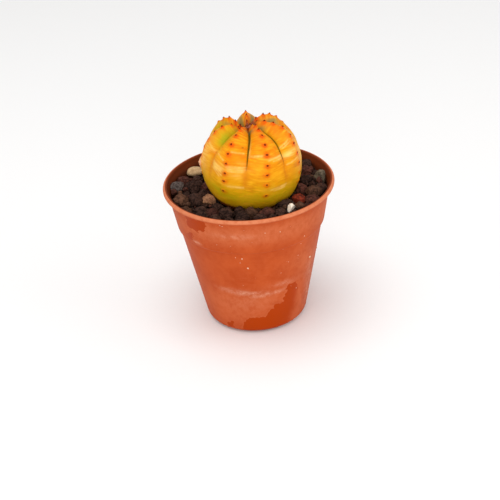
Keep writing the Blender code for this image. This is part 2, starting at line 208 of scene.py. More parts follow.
base_centre = (BASE_RADIUS - BASE_CORNER, BASE_CORNER)
bead_centre = (RIM_RADIUS - RIM_BEAD, POT_HEIGHT - RIM_BEAD)
inner_floor = FOOT_RECESS + WALL
inner_corner = BASE_CORNER - WALL
inner_wall = [
    *arc((BASE_RADIUS - BASE_CORNER, inner_floor + inner_corner), inner_corner, -90, -10, 8),
    (BODY_TOP[0] - WALL, BODY_TOP[1] + 0.3 * WALL),
    (COLLAR_FOOT[0] - WALL, COLLAR_FOOT[1] + 0.3 * WALL),
    (COLLAR_TOP[0] - WALL, COLLAR_TOP[1] - 0.5 * WALL),
]
outer_wall = [
    *arc(base_centre, BASE_CORNER, -90, -10, 14),
    (BODY_TOP[0], BODY_TOP[1] - STEP_FILLET),
    (BODY_TOP[0] + STEP_FILLET, BODY_TOP[1]),
    (COLLAR_FOOT[0] - STEP_FILLET, COLLAR_FOOT[1] - STEP_FILLET),
    (COLLAR_FOOT[0], COLLAR_FOOT[1] + STEP_FILLET),
    COLLAR_TOP,
]
outer_r, outer_z = zip(*outer_wall)
outline = [
    (FOOT_RING_INNER - 0.5, FOOT_RECESS),
    (FOOT_RING_INNER - 0.1, 0.15),
    (FOOT_RING_INNER, 0.0),
    *outer_wall,
    *arc(bead_centre, RIM_BEAD, -120, 180, 20),
    *reversed(inner_wall),
]
turned = [(DRAIN_CIRCLE + 2.6, FOOT_RECESS), *spaced(outline, POT_POINT_SPACING), (DRAIN_CIRCLE + 2.6, inner_floor)]
bm = bmesh.new()
turn = math.tau / POT_SEGMENTS
rings = [[bm.verts.new((0, 0, FOOT_RECESS))]]
rings += [[bm.verts.new(around(turn * j, r, z)) for j in range(POT_SEGMENTS)] for r, z in turned]
rings.append([bm.verts.new((0, 0, inner_floor))])
closed_skin(bm, rings)
pot = add_piece("nursery_pot", bm, sharp_degrees=50)

cutters = bmesh.new()
for i in range(DRAIN_HOLES):
    place = around(math.tau * (i + 0.5) / DRAIN_HOLES, DRAIN_CIRCLE, inner_floor - WALL / 2)
    bmesh.ops.create_cone(
        cutters,
        cap_ends=True,
        segments=40,
        radius1=DRAIN_HOLE_RADIUS,
        radius2=DRAIN_HOLE_RADIUS,
        depth=4 * WALL,
        matrix=Matrix.Translation(place),
    )
drain = add_piece("drain_hole_cutters", cutters)
cut = pot.modifiers.new("drain_holes", "BOOLEAN")
cut.operation = "DIFFERENCE"
cut.solver = "EXACT"
cut.object = drain


def apply_modifiers(piece):
    """Replaces the piece's mesh by the one its modifiers make."""
    shaped = bpy.data.meshes.new_from_object(piece.evaluated_get(bpy.context.evaluated_depsgraph_get()))
    piece.modifiers.clear()
    old = piece.data
    piece.data = shaped
    bpy.data.meshes.remove(old)
    shaped.name = piece.name


apply_modifiers(pot)
bpy.data.objects.remove(drain)

spots = places(pot.data)
spot_azimuth = np.arctan2(spots[:, 0], -spots[:, 1])
spot_radius = np.hypot(spots[:, 0], spots[:, 1])
mid_wall_z = [*outer_z, outer_z[-1] + 0.3]
mid_wall_r = [*(r - WALL / 2 for r in outer_r), RIM_RADIUS - 0.85 * RIM_BEAD]
outside = spot_radius > np.interp(spots[:, 2], mid_wall_z, mid_wall_r)
wet = np.full(len(spots), -9.0)
for patch in WET_PATCHES.values():
    middle = sum(math.radians(a) for a, z in patch) / len(patch)
    apart = (spot_azimuth - middle + math.pi) % math.tau - math.pi
    path = [((math.radians(a) - middle) * 20.0, z) for a, z in patch]
    wet = np.maximum(wet, inside_distance(apart * 20.0, spots[:, 2], path))
add_field(pot.data, "wet", np.where(outside, wet, -9.0))
add_field(pot.data, "lime", clouds(spot_azimuth, spots[:, 2], spot_radius, LIME_CLOUDS) * outside)
add_field(pot.data, "dust", clouds(spot_azimuth, spots[:, 2], spot_radius, DUST_CLOUDS) * outside)
add_field(pot.data, "drying", clouds(spot_azimuth, spots[:, 2], spot_radius, DRYING_CLOUDS))
add_field(pot.data, "inside_depth", np.where(outside, -1.0, POT_HEIGHT - spots[:, 2]))


def add_node(tree, kind, inputs=None, **settings):
    """A shader node with its settings, and its inputs set to values or joined to other nodes' sockets."""
    made = tree.nodes.new(kind)
    for name, value in settings.items():
        setattr(made, name, value)
    for name, value in (inputs or {}).items():
        if isinstance(value, bpy.types.NodeSocket):
            tree.links.new(value, made.inputs[name])
        else:
            made.inputs[name].default_value = value
    return made


def field(tree, name):
    """The number stored on the mesh under that name."""
    return add_node(tree, "ShaderNodeAttribute", attribute_name=name).outputs["Fac"]


def calc(tree, operation, a, b=0.0, c=0.0):
    return add_node(tree, "ShaderNodeMath", {0: a, 1: b, 2: c}, operation=operation).outputs[0]


def rise(tree, value, low, high, to_low=0.0, to_high=1.0):
    """An even rise from to_low to to_high as the value goes from low to high."""
    inputs = {"Value": value, "From Min": low, "From Max": high, "To Min": to_low, "To Max": to_high}
    return add_node(tree, "ShaderNodeMapRange", inputs, interpolation_type="SMOOTHSTEP").outputs["Result"]


def mix_colour(tree, share, a, b):
    """Colour a where share is 0 and colour b where it is 1."""
    a = (*a, 1.0) if isinstance(a, tuple) else a
    b = (*b, 1.0) if isinstance(b, tuple) else b
    made = add_node(tree, "ShaderNodeMix", {0: share, 6: a, 7: b}, data_type="RGBA", clamp_factor=True)
    return made.outputs[2]


def grain(tree, vector, scale, detail=4.0, roughness=0.55):
    """Noise from 0 to 1 at a scale given in waves a metre."""
    inputs = {"Vector": vector, "Scale": scale, "Detail": detail, "Roughness": roughness}
    return add_node(tree, "ShaderNodeTexNoise", inputs).outputs["Fac"]


def stretched(tree, vector, scale):
    """The coordinates scaled by a factor for each axis."""
    return add_node(tree, "ShaderNodeMapping", {"Vector": vector, "Scale": scale}).outputs["Vector"]


def new_material(name):
    """(material, node tree, Principled shader) of a new material."""
    material = bpy.data.materials.new(name)
    material.use_nodes = True
    return material, material.node_tree, material.node_tree.nodes["Principled BSDF"]


def dress(piece, material):
    piece.data.materials.clear()
    piece.data.materials.append(material)


PLASTIC = (0.48, 0.070, 0.011)
PLASTIC_DEEP = (0.42, 0.052, 0.006)
PLASTIC_WET = (0.400, 0.043, 0.001)
# Painted shade on the inside of the pot, below the rim
INSIDE_PAINTED_SHADE = (0.150, 0.028, 0.006)
FILM = (0.61, 0.165, 0.066)
LIME = (0.74, 0.42, 0.28)
# Soil stain and painted shade, darker deeper down the inner wall
INSIDE_SHADE_AND_SOIL = (0.075, 0.022, 0.010)
# Painted shade for the bottom edge of the wall
FOOT_EDGE_PAINTED_SHADE = (0.24, 0.028, 0.003)
# Painted highlight for the outer top of the rim bead
RIM_PAINTED_HIGHLIGHT = (0.66, 0.215, 0.100)

plastic, tree, shader = new_material("terracotta_plastic")
here = add_node(tree, "ShaderNodeTexCoord").outputs["Object"]
broad = grain(tree, here, 130, 3.0)
cloudy = grain(tree, here, 520, 6.0, 0.62)
fine = grain(tree, here, 2600, 3.0, 0.6)
speckle = grain(tree, here, 6500, 2.0, 0.6)
runs = grain(tree, stretched(tree, here, (1.0, 1.0, 0.16)), 1500, 3.0)
scuffs = grain(tree, stretched(tree, here, (1.0, 1.0, 14.0)), 210, 3.0, 0.6)
level = calc(tree, "DIVIDE", add_node(tree, "ShaderNodeSeparateXYZ", {"Vector": here}).outputs["Z"], MM)
colour = mix_colour(tree, rise(tree, broad, 0.35, 0.7), PLASTIC_DEEP, PLASTIC)
film = calc(tree, "MULTIPLY", rise(tree, field(tree, "dust"), 0.0, 1.0, 0.22, 1.0), rise(tree, cloudy, 0.30, 0.62, 0.62, 1.0))
film = calc(tree, "MULTIPLY", film, rise(tree, runs, 0.25, 0.65, 0.82, 1.0))
film = calc(tree, "MULTIPLY", film, rise(tree, fine, 0.30, 0.66, 0.78, 1.0))
film = calc(tree, "MULTIPLY_ADD", rise(tree, scuffs, 0.56, 0.74), 0.14, film)
# Painted highlight: the outer top of the rim bead is made paler, in uneven patches, where the light catches it
rim_highlight = calc(tree, "MULTIPLY", rise(tree, level, 46.7, 47.3), rise(tree, field(tree, "inside_depth"), 0.1, -0.4))
rim_highlight = calc(tree, "MULTIPLY", rim_highlight, rise(tree, cloudy, 0.30, 0.60, 0.55, 0.95))
colour = mix_colour(tree, calc(tree, "MULTIPLY", film, 0.75), colour, FILM)
colour = mix_colour(tree, rim_highlight, colour, RIM_PAINTED_HIGHLIGHT)
lime_share = calc(tree, "MULTIPLY", field(tree, "lime"), rise(tree, cloudy, 0.36, 0.60, 0.25, 1.0))
lime_share = calc(tree, "MULTIPLY", lime_share, rise(tree, speckle, 0.38, 0.62, 0.15, 1.0))
bays = grain(tree, here, 620, 2.0, 0.55)
wobble = calc(tree, "MULTIPLY_ADD", bays, 3.4, -1.7)
edge = calc(tree, "ADD", field(tree, "wet"), wobble)
dampness = rise(tree, edge, -0.10, 0.14)
drying = rise(tree, calc(tree, "MULTIPLY_ADD", cloudy, 0.5, field(tree, "drying")), 0.35, 1.05)
dampness = calc(tree, "MULTIPLY", dampness, calc(tree, "SUBTRACT", 1.0, drying))
dry_share = calc(tree, "SUBTRACT", 1.0, dampness)
colour = mix_colour(tree, calc(tree, "MULTIPLY", lime_share, dry_share), colour, LIME)
colour = mix_colour(tree, dampness, colour, PLASTIC_WET)
tide = calc(tree, "MULTIPLY", rise(tree, edge, -0.42, -0.08), dry_share)
colour = mix_colour(tree, calc(tree, "MULTIPLY", tide, 0.30), colour, FILM)
# Painted shade: the lowest 1.5 mm of the wall, where it rounds under to the foot, is darkened
colour = mix_colour(tree, rise(tree, level, 1.5, 0.3, 0.0, 0.65), colour, FOOT_EDGE_PAINTED_SHADE)
depth = field(tree, "inside_depth")
# Painted shade: the inner wall and the inner half of the rim bead are darkened, as they lie in shade under the rim
colour = mix_colour(tree, rise(tree, depth, -0.6, 0.3), colour, INSIDE_PAINTED_SHADE)
# Deeper down the inner wall it darkens further, unevenly: soil stain and painted shade in the recess
deep_shade_and_soil = rise(tree, calc(tree, "MULTIPLY_ADD", cloudy, 4.0, depth), 3.0, 6.0)
colour = mix_colour(tree, calc(tree, "MULTIPLY", deep_shade_and_soil, 0.8), colour, INSIDE_SHADE_AND_SOIL)
tree.links.new(colour, shader.inputs["Base Color"])
shader.inputs["Specular IOR Level"].default_value = 0.05
rough = calc(tree, "MULTIPLY_ADD", film, 0.16, 0.46)
rough = calc(tree, "MULTIPLY_ADD", calc(tree, "MULTIPLY", lime_share, dry_share), 0.25, rough)
rough = calc(tree, "SUBTRACT", rough, calc(tree, "MULTIPLY", dampness, 0.20))
tree.links.new(rough, shader.inputs["Roughness"])
height = calc(tree, "MULTIPLY_ADD", fine, 0.35, calc(tree, "MULTIPLY", lime_share, 0.8))
bump = add_node(tree, "ShaderNodeBump", {"Height": height, "Strength": 0.22, "Distance": 0.05 * MM})
tree.links.new(bump.outputs["Normal"], shader.inputs["Normal"])
dress(pot, plastic)
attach(pot, "root")
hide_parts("pot")

# Crumbs of dried lime that hard water has left stuck to the outside of the pot: low, uneven, chalky grains from
# 0.2 to 0.8 mm across, the seen ones in their places and others over the rest of the wall.
SEEN_CRUMBS = (
    (56.7, 24.8, 0.40), (-5.6, 28.4, 0.28), (-9.5, 32.3, 0.24), (-11.3, 30.6, 0.15), (-14.5, 32.7, 0.11),
    (19.9, 41.6, 0.18), (8.8, 42.3, 0.14), (-22.1, 45.4, 0.20), (41.9, 36.3, 0.15), (40.6, 33.3, 0.14),
    (38.9, 29.0, 0.13), (29.3, 28.0, 0.12), (41.8, 15.2, 0.17), (22.5, 24.4, 0.12), (-20.5, 45.2, 0.14),
)
MORE_CRUMBS = 34
CRUMB_HEIGHT = 0.45


def outer_radius(z):
    """The pot's outside radius at a height up to the collar's top."""
    return float(np.interp(z, outer_z, outer_r))


pick = random.Random(5)
crumbs = list(SEEN_CRUMBS)
for _ in range(MORE_CRUMBS):
    crumbs.append((pick.uniform(75, 290), pick.uniform(4, 45), 0.08 + 0.28 * pick.random() ** 3))
for _ in range(MORE_CRUMBS // 2):
    crumbs.append((pick.uniform(-60, 60), pick.uniform(14, 44), 0.05 + 0.05 * pick.random()))
bm = bmesh.new()
for degrees, level, radius in crumbs:
    azimuth = math.radians(degrees)
    on_wall = around(azimuth, outer_radius(level) + 0.1 * radius, level)
    facing = Vector((math.sin(azimuth), -math.cos(azimuth), 0)).to_track_quat("Z", "Y").to_matrix().to_4x4()
    flat = Matrix.Diagonal((1.0, pick.uniform(0.7, 1.0), CRUMB_HEIGHT, 1.0))
    grown = bmesh.ops.create_icosphere(
        bm, subdivisions=2, radius=radius, matrix=Matrix.Translation(on_wall) @ facing @ flat
    )
    for v in grown["verts"]:
        v.co += (v.co - on_wall) * 0.6 * noise.noise(v.co * (0.9 / radius))
crumb_piece = add_piece("lime_crumbs", bm)

chalk, tree, shader = new_material("chalky_lime")
here = add_node(tree, "ShaderNodeTexCoord").outputs["Object"]
powder = grain(tree, here, 5200, 4.0, 0.6)
tree.links.new(mix_colour(tree, rise(tree, powder, 0.3, 0.7), (0.60, 0.30, 0.17), (0.88, 0.66, 0.48)), shader.inputs["Base Color"])
tree.links.new(rise(tree, powder, 0.3, 0.7, 0.75, 0.95), shader.inputs["Roughness"])
dress(crumb_piece, chalk)
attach(crumb_piece, "root")

# The potting mix: dark volcanic grit that fills the pot under the stones, packed in by hand round the plant's neck
# and taproot, so that its hollow is the plant's underside with a little room. Its top lies lower at the back left.
MIX_TOP = 42.3
MIX_SLOPE = 0.02
FIT_GAP = 0.3
MIX_SEGMENTS = 216
MIX_TOP_RINGS = 30
LUMP_HEIGHT = 0.55
PLANT_CENTRE = Vector((1.54, 0.0, 53.85))
PLANT_LEAN = math.radians(4.2)
BALL_RADIUS = 15.85
UNDERSIDE_DEPTH = 16.3
NECK_RADIUS = 3.6
TAPROOT_DEPTH = 36.0


def bed_level(x, y):
    """The height of the mix's top."""
    return MIX_TOP + MIX_SLOPE * (x - y)


def underside_radius(down):
    """The plant's radius at a depth under its widest level: the ball, then the neck and the taproot."""
    ball = np.sqrt(np.clip(1 - (down / UNDERSIDE_DEPTH) ** 2, 0, 1)) * BALL_RADIUS
    root = NECK_RADIUS * np.clip(1 - down / TAPROOT_DEPTH, 0, 1) ** 0.7
    return (ball**4 + root**4) ** 0.25


def plant_axis(z):
    """Where the plant's leaning axis crosses a height."""
    return Vector((PLANT_CENTRE.x + (z - PLANT_CENTRE.z) * math.tan(PLANT_LEAN), PLANT_CENTRE.y, z))


azimuths = [math.tau * i / MIX_SEGMENTS for i in range(MIX_SEGMENTS)]
floor_level = inner_floor + FIT_GAP
side = [(r - FIT_GAP, z) for r, z in inner_wall if floor_level < z < MIX_TOP - 2]
stack = [[around(a, r, z) for a in azimuths] for r, z in [(side[0][0] - 1.2, floor_level), *spaced(side, 2.0)]]
inner_r, inner_z = zip(*inner_wall)
edge_radius = float(np.interp(MIX_TOP, inner_z, inner_r)) - 2.5 * FIT_GAP
mouth_radius = float(underside_radius(PLANT_CENTRE.z - MIX_TOP - 3 * FIT_GAP)) + 2 * FIT_GAP
for step in range(MIX_TOP_RINGS + 1):
    inwards = step / MIX_TOP_RINGS
    ring = []
    for a in azimuths:
        point = around(a, edge_radius, 0).lerp(plant_axis(MIX_TOP) + around(a, mouth_radius, 0), inwards)
        lump = noise.noise(Vector((point.x, point.y, 0)) * 0.9) + 0.5 * noise.noise(Vector((point.x, point.y, 9)) * 2.3)
        fade = min(1.0, 6 * inwards, 6 * (1 - inwards))
        point.z = bed_level(point.x, point.y) + LUMP_HEIGHT * fade * (lump - 0.35)
        ring.append(point)
    stack.append(ring)
leaning = Matrix.Rotation(PLANT_LEAN, 3, "Y")
for down in np.arange(PLANT_CENTRE.z - MIX_TOP + 1.2, TAPROOT_DEPTH - 1, 1.2):
    hollow = [around(a, float(underside_radius(down)) + FIT_GAP, -down - FIT_GAP) for a in azimuths]
    stack.append([PLANT_CENTRE + leaning @ point for point in hollow])
bm = bmesh.new()
rings = [[bm.verts.new((0, 0, floor_level))]]
rings += [[bm.verts.new(point) for point in ring] for ring in stack]
rings.append([bm.verts.new(PLANT_CENTRE + leaning @ Vector((0, 0, -TAPROOT_DEPTH - 3 * FIT_GAP)))])
closed_skin(bm, rings)
bed = add_piece("packed_mix", bm)


def stone_surface_group():
    """The shared look of crushed stone: grain, cut bubbles with painted shade in their hollows, mineral flecks and
    settled dust over a base colour.
    """
    group = bpy.data.node_groups.new("crushed_stone", "ShaderNodeTree")
    for name, kind, value in (
        ("Base", "NodeSocketColor", (0.08, 0.05, 0.05, 1)),
        ("Deep", "NodeSocketColor", (0.02, 0.01, 0.01, 1)),
        ("Fleck", "NodeSocketColor", (0.3, 0.2, 0.15, 1)),
        ("Fleck Amount", "NodeSocketFloat", 0.3),
        ("Grain Scale", "NodeSocketFloat", 900.0),
        ("Pit Scale", "NodeSocketFloat", 2200.0),
        ("Tone", "NodeSocketFloat", 0.5),
    ):
        group.interface.new_socket(name, in_out="INPUT", socket_type=kind).default_value = value
    group.interface.new_socket("Colour", in_out="OUTPUT", socket_type="NodeSocketColor")
    group.interface.new_socket("Roughness", in_out="OUTPUT", socket_type="NodeSocketFloat")
    group.interface.new_socket("Height", in_out="OUTPUT", socket_type="NodeSocketFloat")
    given = group.nodes.new("NodeGroupInput").outputs
    here = add_node(group, "ShaderNodeTexCoord").outputs["Object"]
    grains = grain(group, here, given["Grain Scale"], 6.0, 0.65)
    broad = grain(group, here, 300, 3.0)
    flecks = grain(group, here, 4200, 2.0, 0.6)
    pits = add_node(group, "ShaderNodeTexVoronoi", {"Vector": here, "Scale": given["Pit Scale"]}).outputs["Distance"]
    pit = rise(group, pits, 0.10, 0.42)
    # Painted shade: the cut bubbles' hollows are darkened towards the deep colour, on top of the grain's own light and
    # dark tone
    shade = calc(group, "MULTIPLY", rise(group, grains, 0.30, 0.66), rise(group, pit, 0.0, 1.0, 0.45, 1.0))
    shade = calc(group, "MULTIPLY", shade, rise(group, given["Tone"], 0.0, 1.0, 0.55, 1.25))
    colour = mix_colour(group, shade, given["Deep"], given["Base"])
    dust = calc(group, "MULTIPLY", rise(group, flecks, 0.56, 0.72), rise(group, broad, 0.36, 0.64, 0.2, 1.0))
    colour = mix_colour(group, calc(group, "MULTIPLY", dust, given["Fleck Amount"]), colour, given["Fleck"])
    leaving = group.nodes.new("NodeGroupOutput").inputs
    group.links.new(colour, leaving["Colour"])
    group.links.new(rise(group, grains, 0.3, 0.7, 0.95, 0.72), leaving["Roughness"])
    relief = calc(group, "MULTIPLY_ADD", pit, 0.7, calc(group, "MULTIPLY", grains, 0.8))
    group.links.new(relief, leaving["Height"])
    return group


stone_surface = stone_surface_group()
mix_material, tree, shader = new_material("potting_mix")
surface = add_node(tree, "ShaderNodeGroup", node_tree=stone_surface)
surface.inputs["Base"].default_value = (0.030, 0.018, 0.013, 1)
surface.inputs["Deep"].default_value = (0.006, 0.004, 0.003, 1)
surface.inputs["Fleck"].default_value = (0.16, 0.10, 0.07, 1)
tree.links.new(surface.outputs["Colour"], shader.inputs["Base Color"])
tree.links.new(surface.outputs["Roughness"], shader.inputs["Roughness"])
inputs = {"Height": surface.outputs["Height"], "Strength": 1.0, "Distance": 0.2 * MM}
bump = add_node(tree, "ShaderNodeBump", inputs)
tree.links.new(bump.outputs["Normal"], shader.inputs["Normal"])
dress(bed, mix_material)
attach(bed, "root")
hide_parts("potting_mix")

# The plant: one grown ball of seven ribs on a short neck and a tapering taproot. It leans a little to the right. Its
# skin is yellow to orange with fine cross bands, and each rib's crest carries a row of corky scarred bumps.
CREST_HEIGHT = 15.3
CREST_POWER = 2.45
CROWN_HOLLOW_DEPTH = 3.3
CROWN_HOLLOW_RADIUS = 4.1
CROWN_HOLLOW_CENTRE = (-2.04, 0.64)
CROWN_SHIFT = (-1.41, 0.66)
CROWN_SHIFT_REACH = 6.0
CREST_AZIMUTHS = (-82.7, -34.3, 15.3, 68.3, 129.0, 183.0, 232.0)
FURROW_AT_CROWN = 2.9
FURROW_AT_WAIST = 0.14
REAR_FURROWS = 1.8
COLUMNS_PER_RIB = 52
BUMP_CENTRE_UP = 1.69

# Polar angles of the bumps down each rib, from the crown, seen from the point BUMP_CENTRE_UP above the centre
BUMP_ANGLES = {
    -82.7: (14.0, 24.5, 38.4, 49.0, 60.8, 71.1, 81.6, 92.1, 103.0),
    -34.3: (20.8, 28.9, 39.8, 51.7, 62.8, 73.4, 84.7, 94.3, 106.8),
    15.3: (18.5, 27.9, 38.0, 50.1, 61.4, 73.2, 83.8, 95.4, 108.8),
    68.3: (18.7, 28.0, 38.5, 50.8, 60.2, 71.5, 82.8, 95.4, 107.0),
    129.0: (13.0, 23.8, 34.5, 45.5, 57.0, 68.0, 79.0, 90.5, 102.0),
    183.0: (12.0, 22.1, 32.9, 44.5, 56.5, 68.0, 79.0, 90.0, 102.0),
    232.0: (12.5, 21.4, 32.1, 42.0, 53.0, 64.5, 76.0, 88.0, 99.5),
}
# How far each crest wanders from its azimuth, as (polar angle, degrees)
CREST_WANDER = {
    -82.7: ((10, 4.7), (38, 4.7), (50, 3), (71, -1), (90, 0)),
    -34.3: ((20, 2.1), (40, 2.1), (52, 1.2), (73, 1.0), (85, 0.6), (94, -0.4), (107, -2.0)),
    15.3: ((19, 6), (28, 1.4), (38, 1.1), (61, 0.8), (73, 0.5), (84, -0.9), (109, -1.2)),
    68.3: ((10, 5.4), (38, 5.4), (51, 1.5), (60, -2), (72, -3.0), (83, -3.8), (96, -1.5)),
    129.0: ((10, 8.8), (35, 8.8), (70, 0)),
    183.0: ((10, 8.6), (35, 8.6), (70, 0)),
    232.0: ((10, 6.2), (40, 6.2), (70, 0)),
}
# Young bumps crowded round the crown: (azimuth, polar angle, height, radius)
CROWN_BUMPS = (
    (-60, 8.0, 0.75, 0.50), (-32, 12.5, 0.70, 0.50), (-5, 8.0, 0.60, 0.45), (22, 11.0, 0.75, 0.50),
    (50, 7.0, 0.60, 0.45), (76, 10.5, 0.80, 0.55), (105, 6.5, 0.65, 0.50), (160, 7.0, 0.65, 0.50),
    (215, 7.0, 0.70, 0.50), (262, 7.5, 0.70, 0.50), (292, 11.5, 0.60, 0.45), (0, 2.5, 0.45, 0.40),
    (120, 3.0, 0.50, 0.40), (240, 2.8, 0.50, 0.40),
)


def soft_step(low, high, value):
    """0 below low, 1 above high, and an even rise between them."""
    x = np.clip((value - low) / (high - low), 0.0, 1.0)
    return x * x * (3 - 2 * x)


# Stations down a rib's crest: the radius, the height above the centre, and the furrow's depth and sharpness
degrees = np.arange(0.5, 90.0, 0.72)
polar = np.radians(degrees)
reach = (np.sin(polar) / BALL_RADIUS) ** CREST_POWER + (np.cos(polar) / CREST_HEIGHT) ** CREST_POWER
reach = reach ** (-1 / CREST_POWER)
waist = soft_step(25, 90, degrees)
upper_furrow = soft_step(0, 13, degrees) * (FURROW_AT_CROWN * (1 - waist) + FURROW_AT_WAIST * waist)
down = np.concatenate([np.arange(0.0, 11.5, 0.2), np.linspace(11.9, TAPROOT_DEPTH - 0.5, 26)])
crest_r = np.concatenate([reach * np.sin(polar), underside_radius(down)])
crest_z = np.concatenate([reach * np.cos(polar), -down])
furrow_depth = np.concatenate([upper_furrow, FURROW_AT_WAIST * (1 - soft_step(0, 10, down))])
peaked = 1 - soft_step(22, 44, degrees)
sharpness = np.concatenate([2.3 - 0.95 * peaked + 0.4 * waist, np.full(len(down), 2.7)])
arc_length = np.concatenate([[0], np.cumsum(np.hypot(np.diff(crest_r), np.diff(crest_z)))])
theta = np.degrees(np.arctan2(crest_r, crest_z - BUMP_CENTRE_UP))

# Columns round the ball, closer together at the crests and the furrows: share is 0 on a crest, 1 in a furrow
even = np.arange(COLUMNS_PER_RIB) / COLUMNS_PER_RIB
across = even - 0.5 / (2 * math.tau) * np.sin(2 * math.tau * even)
share = np.tile(1 - np.abs(1 - 2 * across), len(CREST_AZIMUTHS))
crest_lines = []
for degrees_round in CREST_AZIMUTHS:
    wander = CREST_WANDER.get(degrees_round, ((0, 0),))
    crest_lines.append(np.radians(degrees_round + np.interp(theta, *zip(*wander))))
columns = []
for line, following in zip(crest_lines, crest_lines[1:] + [crest_lines[0] + math.tau]):
    columns.append(line[:, None] + (following - line)[:, None] * across[None, :])
azimuth = np.concatenate(columns, axis=1)
spans = [((b - a) % math.tau)[:, None] for a, b in zip(crest_lines, crest_lines[1:] + crest_lines[:1])]
from_furrow = np.concatenate([(across[None, :] - 0.5) * span for span in spans], axis=1) * crest_r[:, None]
from_crest = np.concatenate(
    [np.where(across < 0.5, across, across - 1)[None, :] * span for span in spans], axis=1
) * crest_r[:, None]
theta_grid = np.broadcast_to(theta[:, None], azimuth.shape)
arc_grid = np.broadcast_to(arc_length[:, None], azimuth.shape)

out_r, out_z = crest_r / BALL_RADIUS**2, crest_z / CREST_HEIGHT**2
size = np.hypot(out_r, out_z)
out_r, out_z = (out_r / size)[:, None], (out_z / size)[:, None]
lift = -furrow_depth[:, None] * share[None, :] ** sharpness[:, None]
rear = soft_step(math.radians(95), math.radians(125), np.abs((azimuth + math.pi) % math.tau - math.pi))
lift = lift * (1 + (REAR_FURROWS - 1) * rear * (1 - soft_step(45, 70, theta_grid)))

# Where each furrow, by its azimuth at the waist, stops being a sharp dark line: polar angles of the start and end
FURROW_FADES = {-58.5: (20, 34), -9.5: (60, 90), 41.8: (58, 86)}
OTHER_FURROW_FADE = (50, 80)
furrow_line = 1 - soft_step(*OTHER_FURROW_FADE, theta_grid)
for degrees_round, (start, end) in FURROW_FADES.items():
    apart = np.abs((azimuth - math.radians(degrees_round) + math.pi) % math.tau - math.pi)
    furrow_line = np.where(apart < math.radians(23), 1 - soft_step(start, end, theta_grid), furrow_line)
furrow_width = 0.43 - 0.21 * soft_step(25, 75, theta_grid)
groove = np.exp(-((from_furrow / furrow_width) ** 2)) * soft_step(6, 20, theta_grid)
lift = lift - (0.015 + 0.28 * furrow_line) * groove
keel = np.exp(-((from_crest / 1.1) ** 2)) * soft_step(12, 30, theta_grid) * (1 - soft_step(100, 118, theta_grid))
lift = lift + 0.16 * keel


def bump_fields():
    """(lift, dark scar, red halo) over the skin, from every bump on the ribs and round the crown."""
    raised = np.zeros(azimuth.shape)
    scar = np.full(azimuth.shape, -3.0)
    halo = np.zeros(azimuth.shape)
    pick = random.Random(3)
    bumps = []
    for line, degrees_round in zip(crest_lines, CREST_AZIMUTHS):
        for angle in BUMP_ANGLES[degrees_round]:
            young = float(1 - soft_step(38, 66, angle))
            height = 0.26 + 0.50 * young + pick.uniform(-0.04, 0.04)
            bumps.append((float(np.interp(angle, theta, line)), angle, height, 0.95 - 0.2 * young, young))
    for degrees_round, angle, height, radius in CROWN_BUMPS:
        bumps.append((math.radians(degrees_round), angle, height, radius, 1.3))
    for middle, angle, height, radius, young in bumps:
        near = np.abs(theta - angle) < 14
        apart = (azimuth[near] - middle + math.pi) % math.tau - math.pi
        ring_radius = float(np.interp(angle, theta, crest_r))
        x = apart * np.minimum(crest_r[near][:, None], ring_radius + 1.0)
        y = arc_length[near][:, None] - float(np.interp(angle, theta, arc_length))
        away = np.hypot(x, y)
        cone = np.clip(1 - away / radius, 0, 1) ** 1.35
        dome = np.clip(1 - (x / 1.25) ** 2 - (y / 0.8) ** 2, 0, 1) ** 2
        body = height * (min(young, 1.0) * cone + (1 - min(young, 1.0)) * dome)
        pit = 0.10 * (1 - min(young, 1.0)) * np.exp(-((x / 0.42) ** 2) - (y / 0.16) ** 2)
        raised[near] = np.maximum(raised[near], body) - pit
        tip = (0.34 - 0.06 * min(young, 1.0)) - away
        slot = 0.23 - np.hypot(x * 0.62 / (1.0 + pick.uniform(-0.2, 0.4)), y + pick.uniform(0.0, 0.25) * np.abs(x))
        scar[near] = np.maximum(scar[near], np.where(young > 0.5, tip, slot))
        spread = np.exp(-((x / (1.35 - 0.30 * min(young, 1))) ** 2) - ((y - 0.20) / 1.05) ** 2)
        halo[near] = np.maximum(halo[near], spread * (1.0 if young <= 1 else 0.45))
    return raised, scar, halo


raised, scar, halo = bump_fields()
lift = lift + raised
crown_r = crest_r[:, None]
from_hollow = np.hypot(
    crown_r * np.sin(azimuth) - CROWN_HOLLOW_CENTRE[0], -crown_r * np.cos(azimuth) - CROWN_HOLLOW_CENTRE[1]
)
hollow_depth = CROWN_HOLLOW_DEPTH * np.exp(-((from_hollow / CROWN_HOLLOW_RADIUS) ** 2)) * (crest_z > 0)[:, None]
crown_share = np.exp(-((crown_r / CROWN_SHIFT_REACH) ** 2)) * (crest_z > 0)[:, None]


def skin_clouds(blobs):
    """Soft blobs on the skin, from their (azimuth, polar angle, half width in mm, half height in degrees, strength)."""
    return clouds(azimuth, theta_grid, crown_r, blobs)


def streak(start, end, width):
    """A thin straight mark between two (azimuth, polar angle) points, of a width in mm; 1 on its line."""
    middle = math.radians((start[0] + end[0]) / 2)
    scale = BALL_RADIUS * math.pi / 180
    flat_x = ((azimuth - middle + math.pi) % math.tau - math.pi) * crown_r
    flat_y = theta_grid * scale
    ends = [(math.radians(a) - middle, t) for a, t in (start, end)]
    points = [(a * float(np.interp(t, theta, crest_r)), t * scale) for a, t in ends]
    (x0, y0), (x1, y1) = points
    dx, dy = x1 - x0, y1 - y0
    along = np.clip(((flat_x - x0) * dx + (flat_y - y0) * dy) / (dx * dx + dy * dy), 0, 1)
    apart = np.hypot(flat_x - x0 - along * dx, flat_y - y0 - along * dy)
    return np.exp(-((apart / width) ** 2))


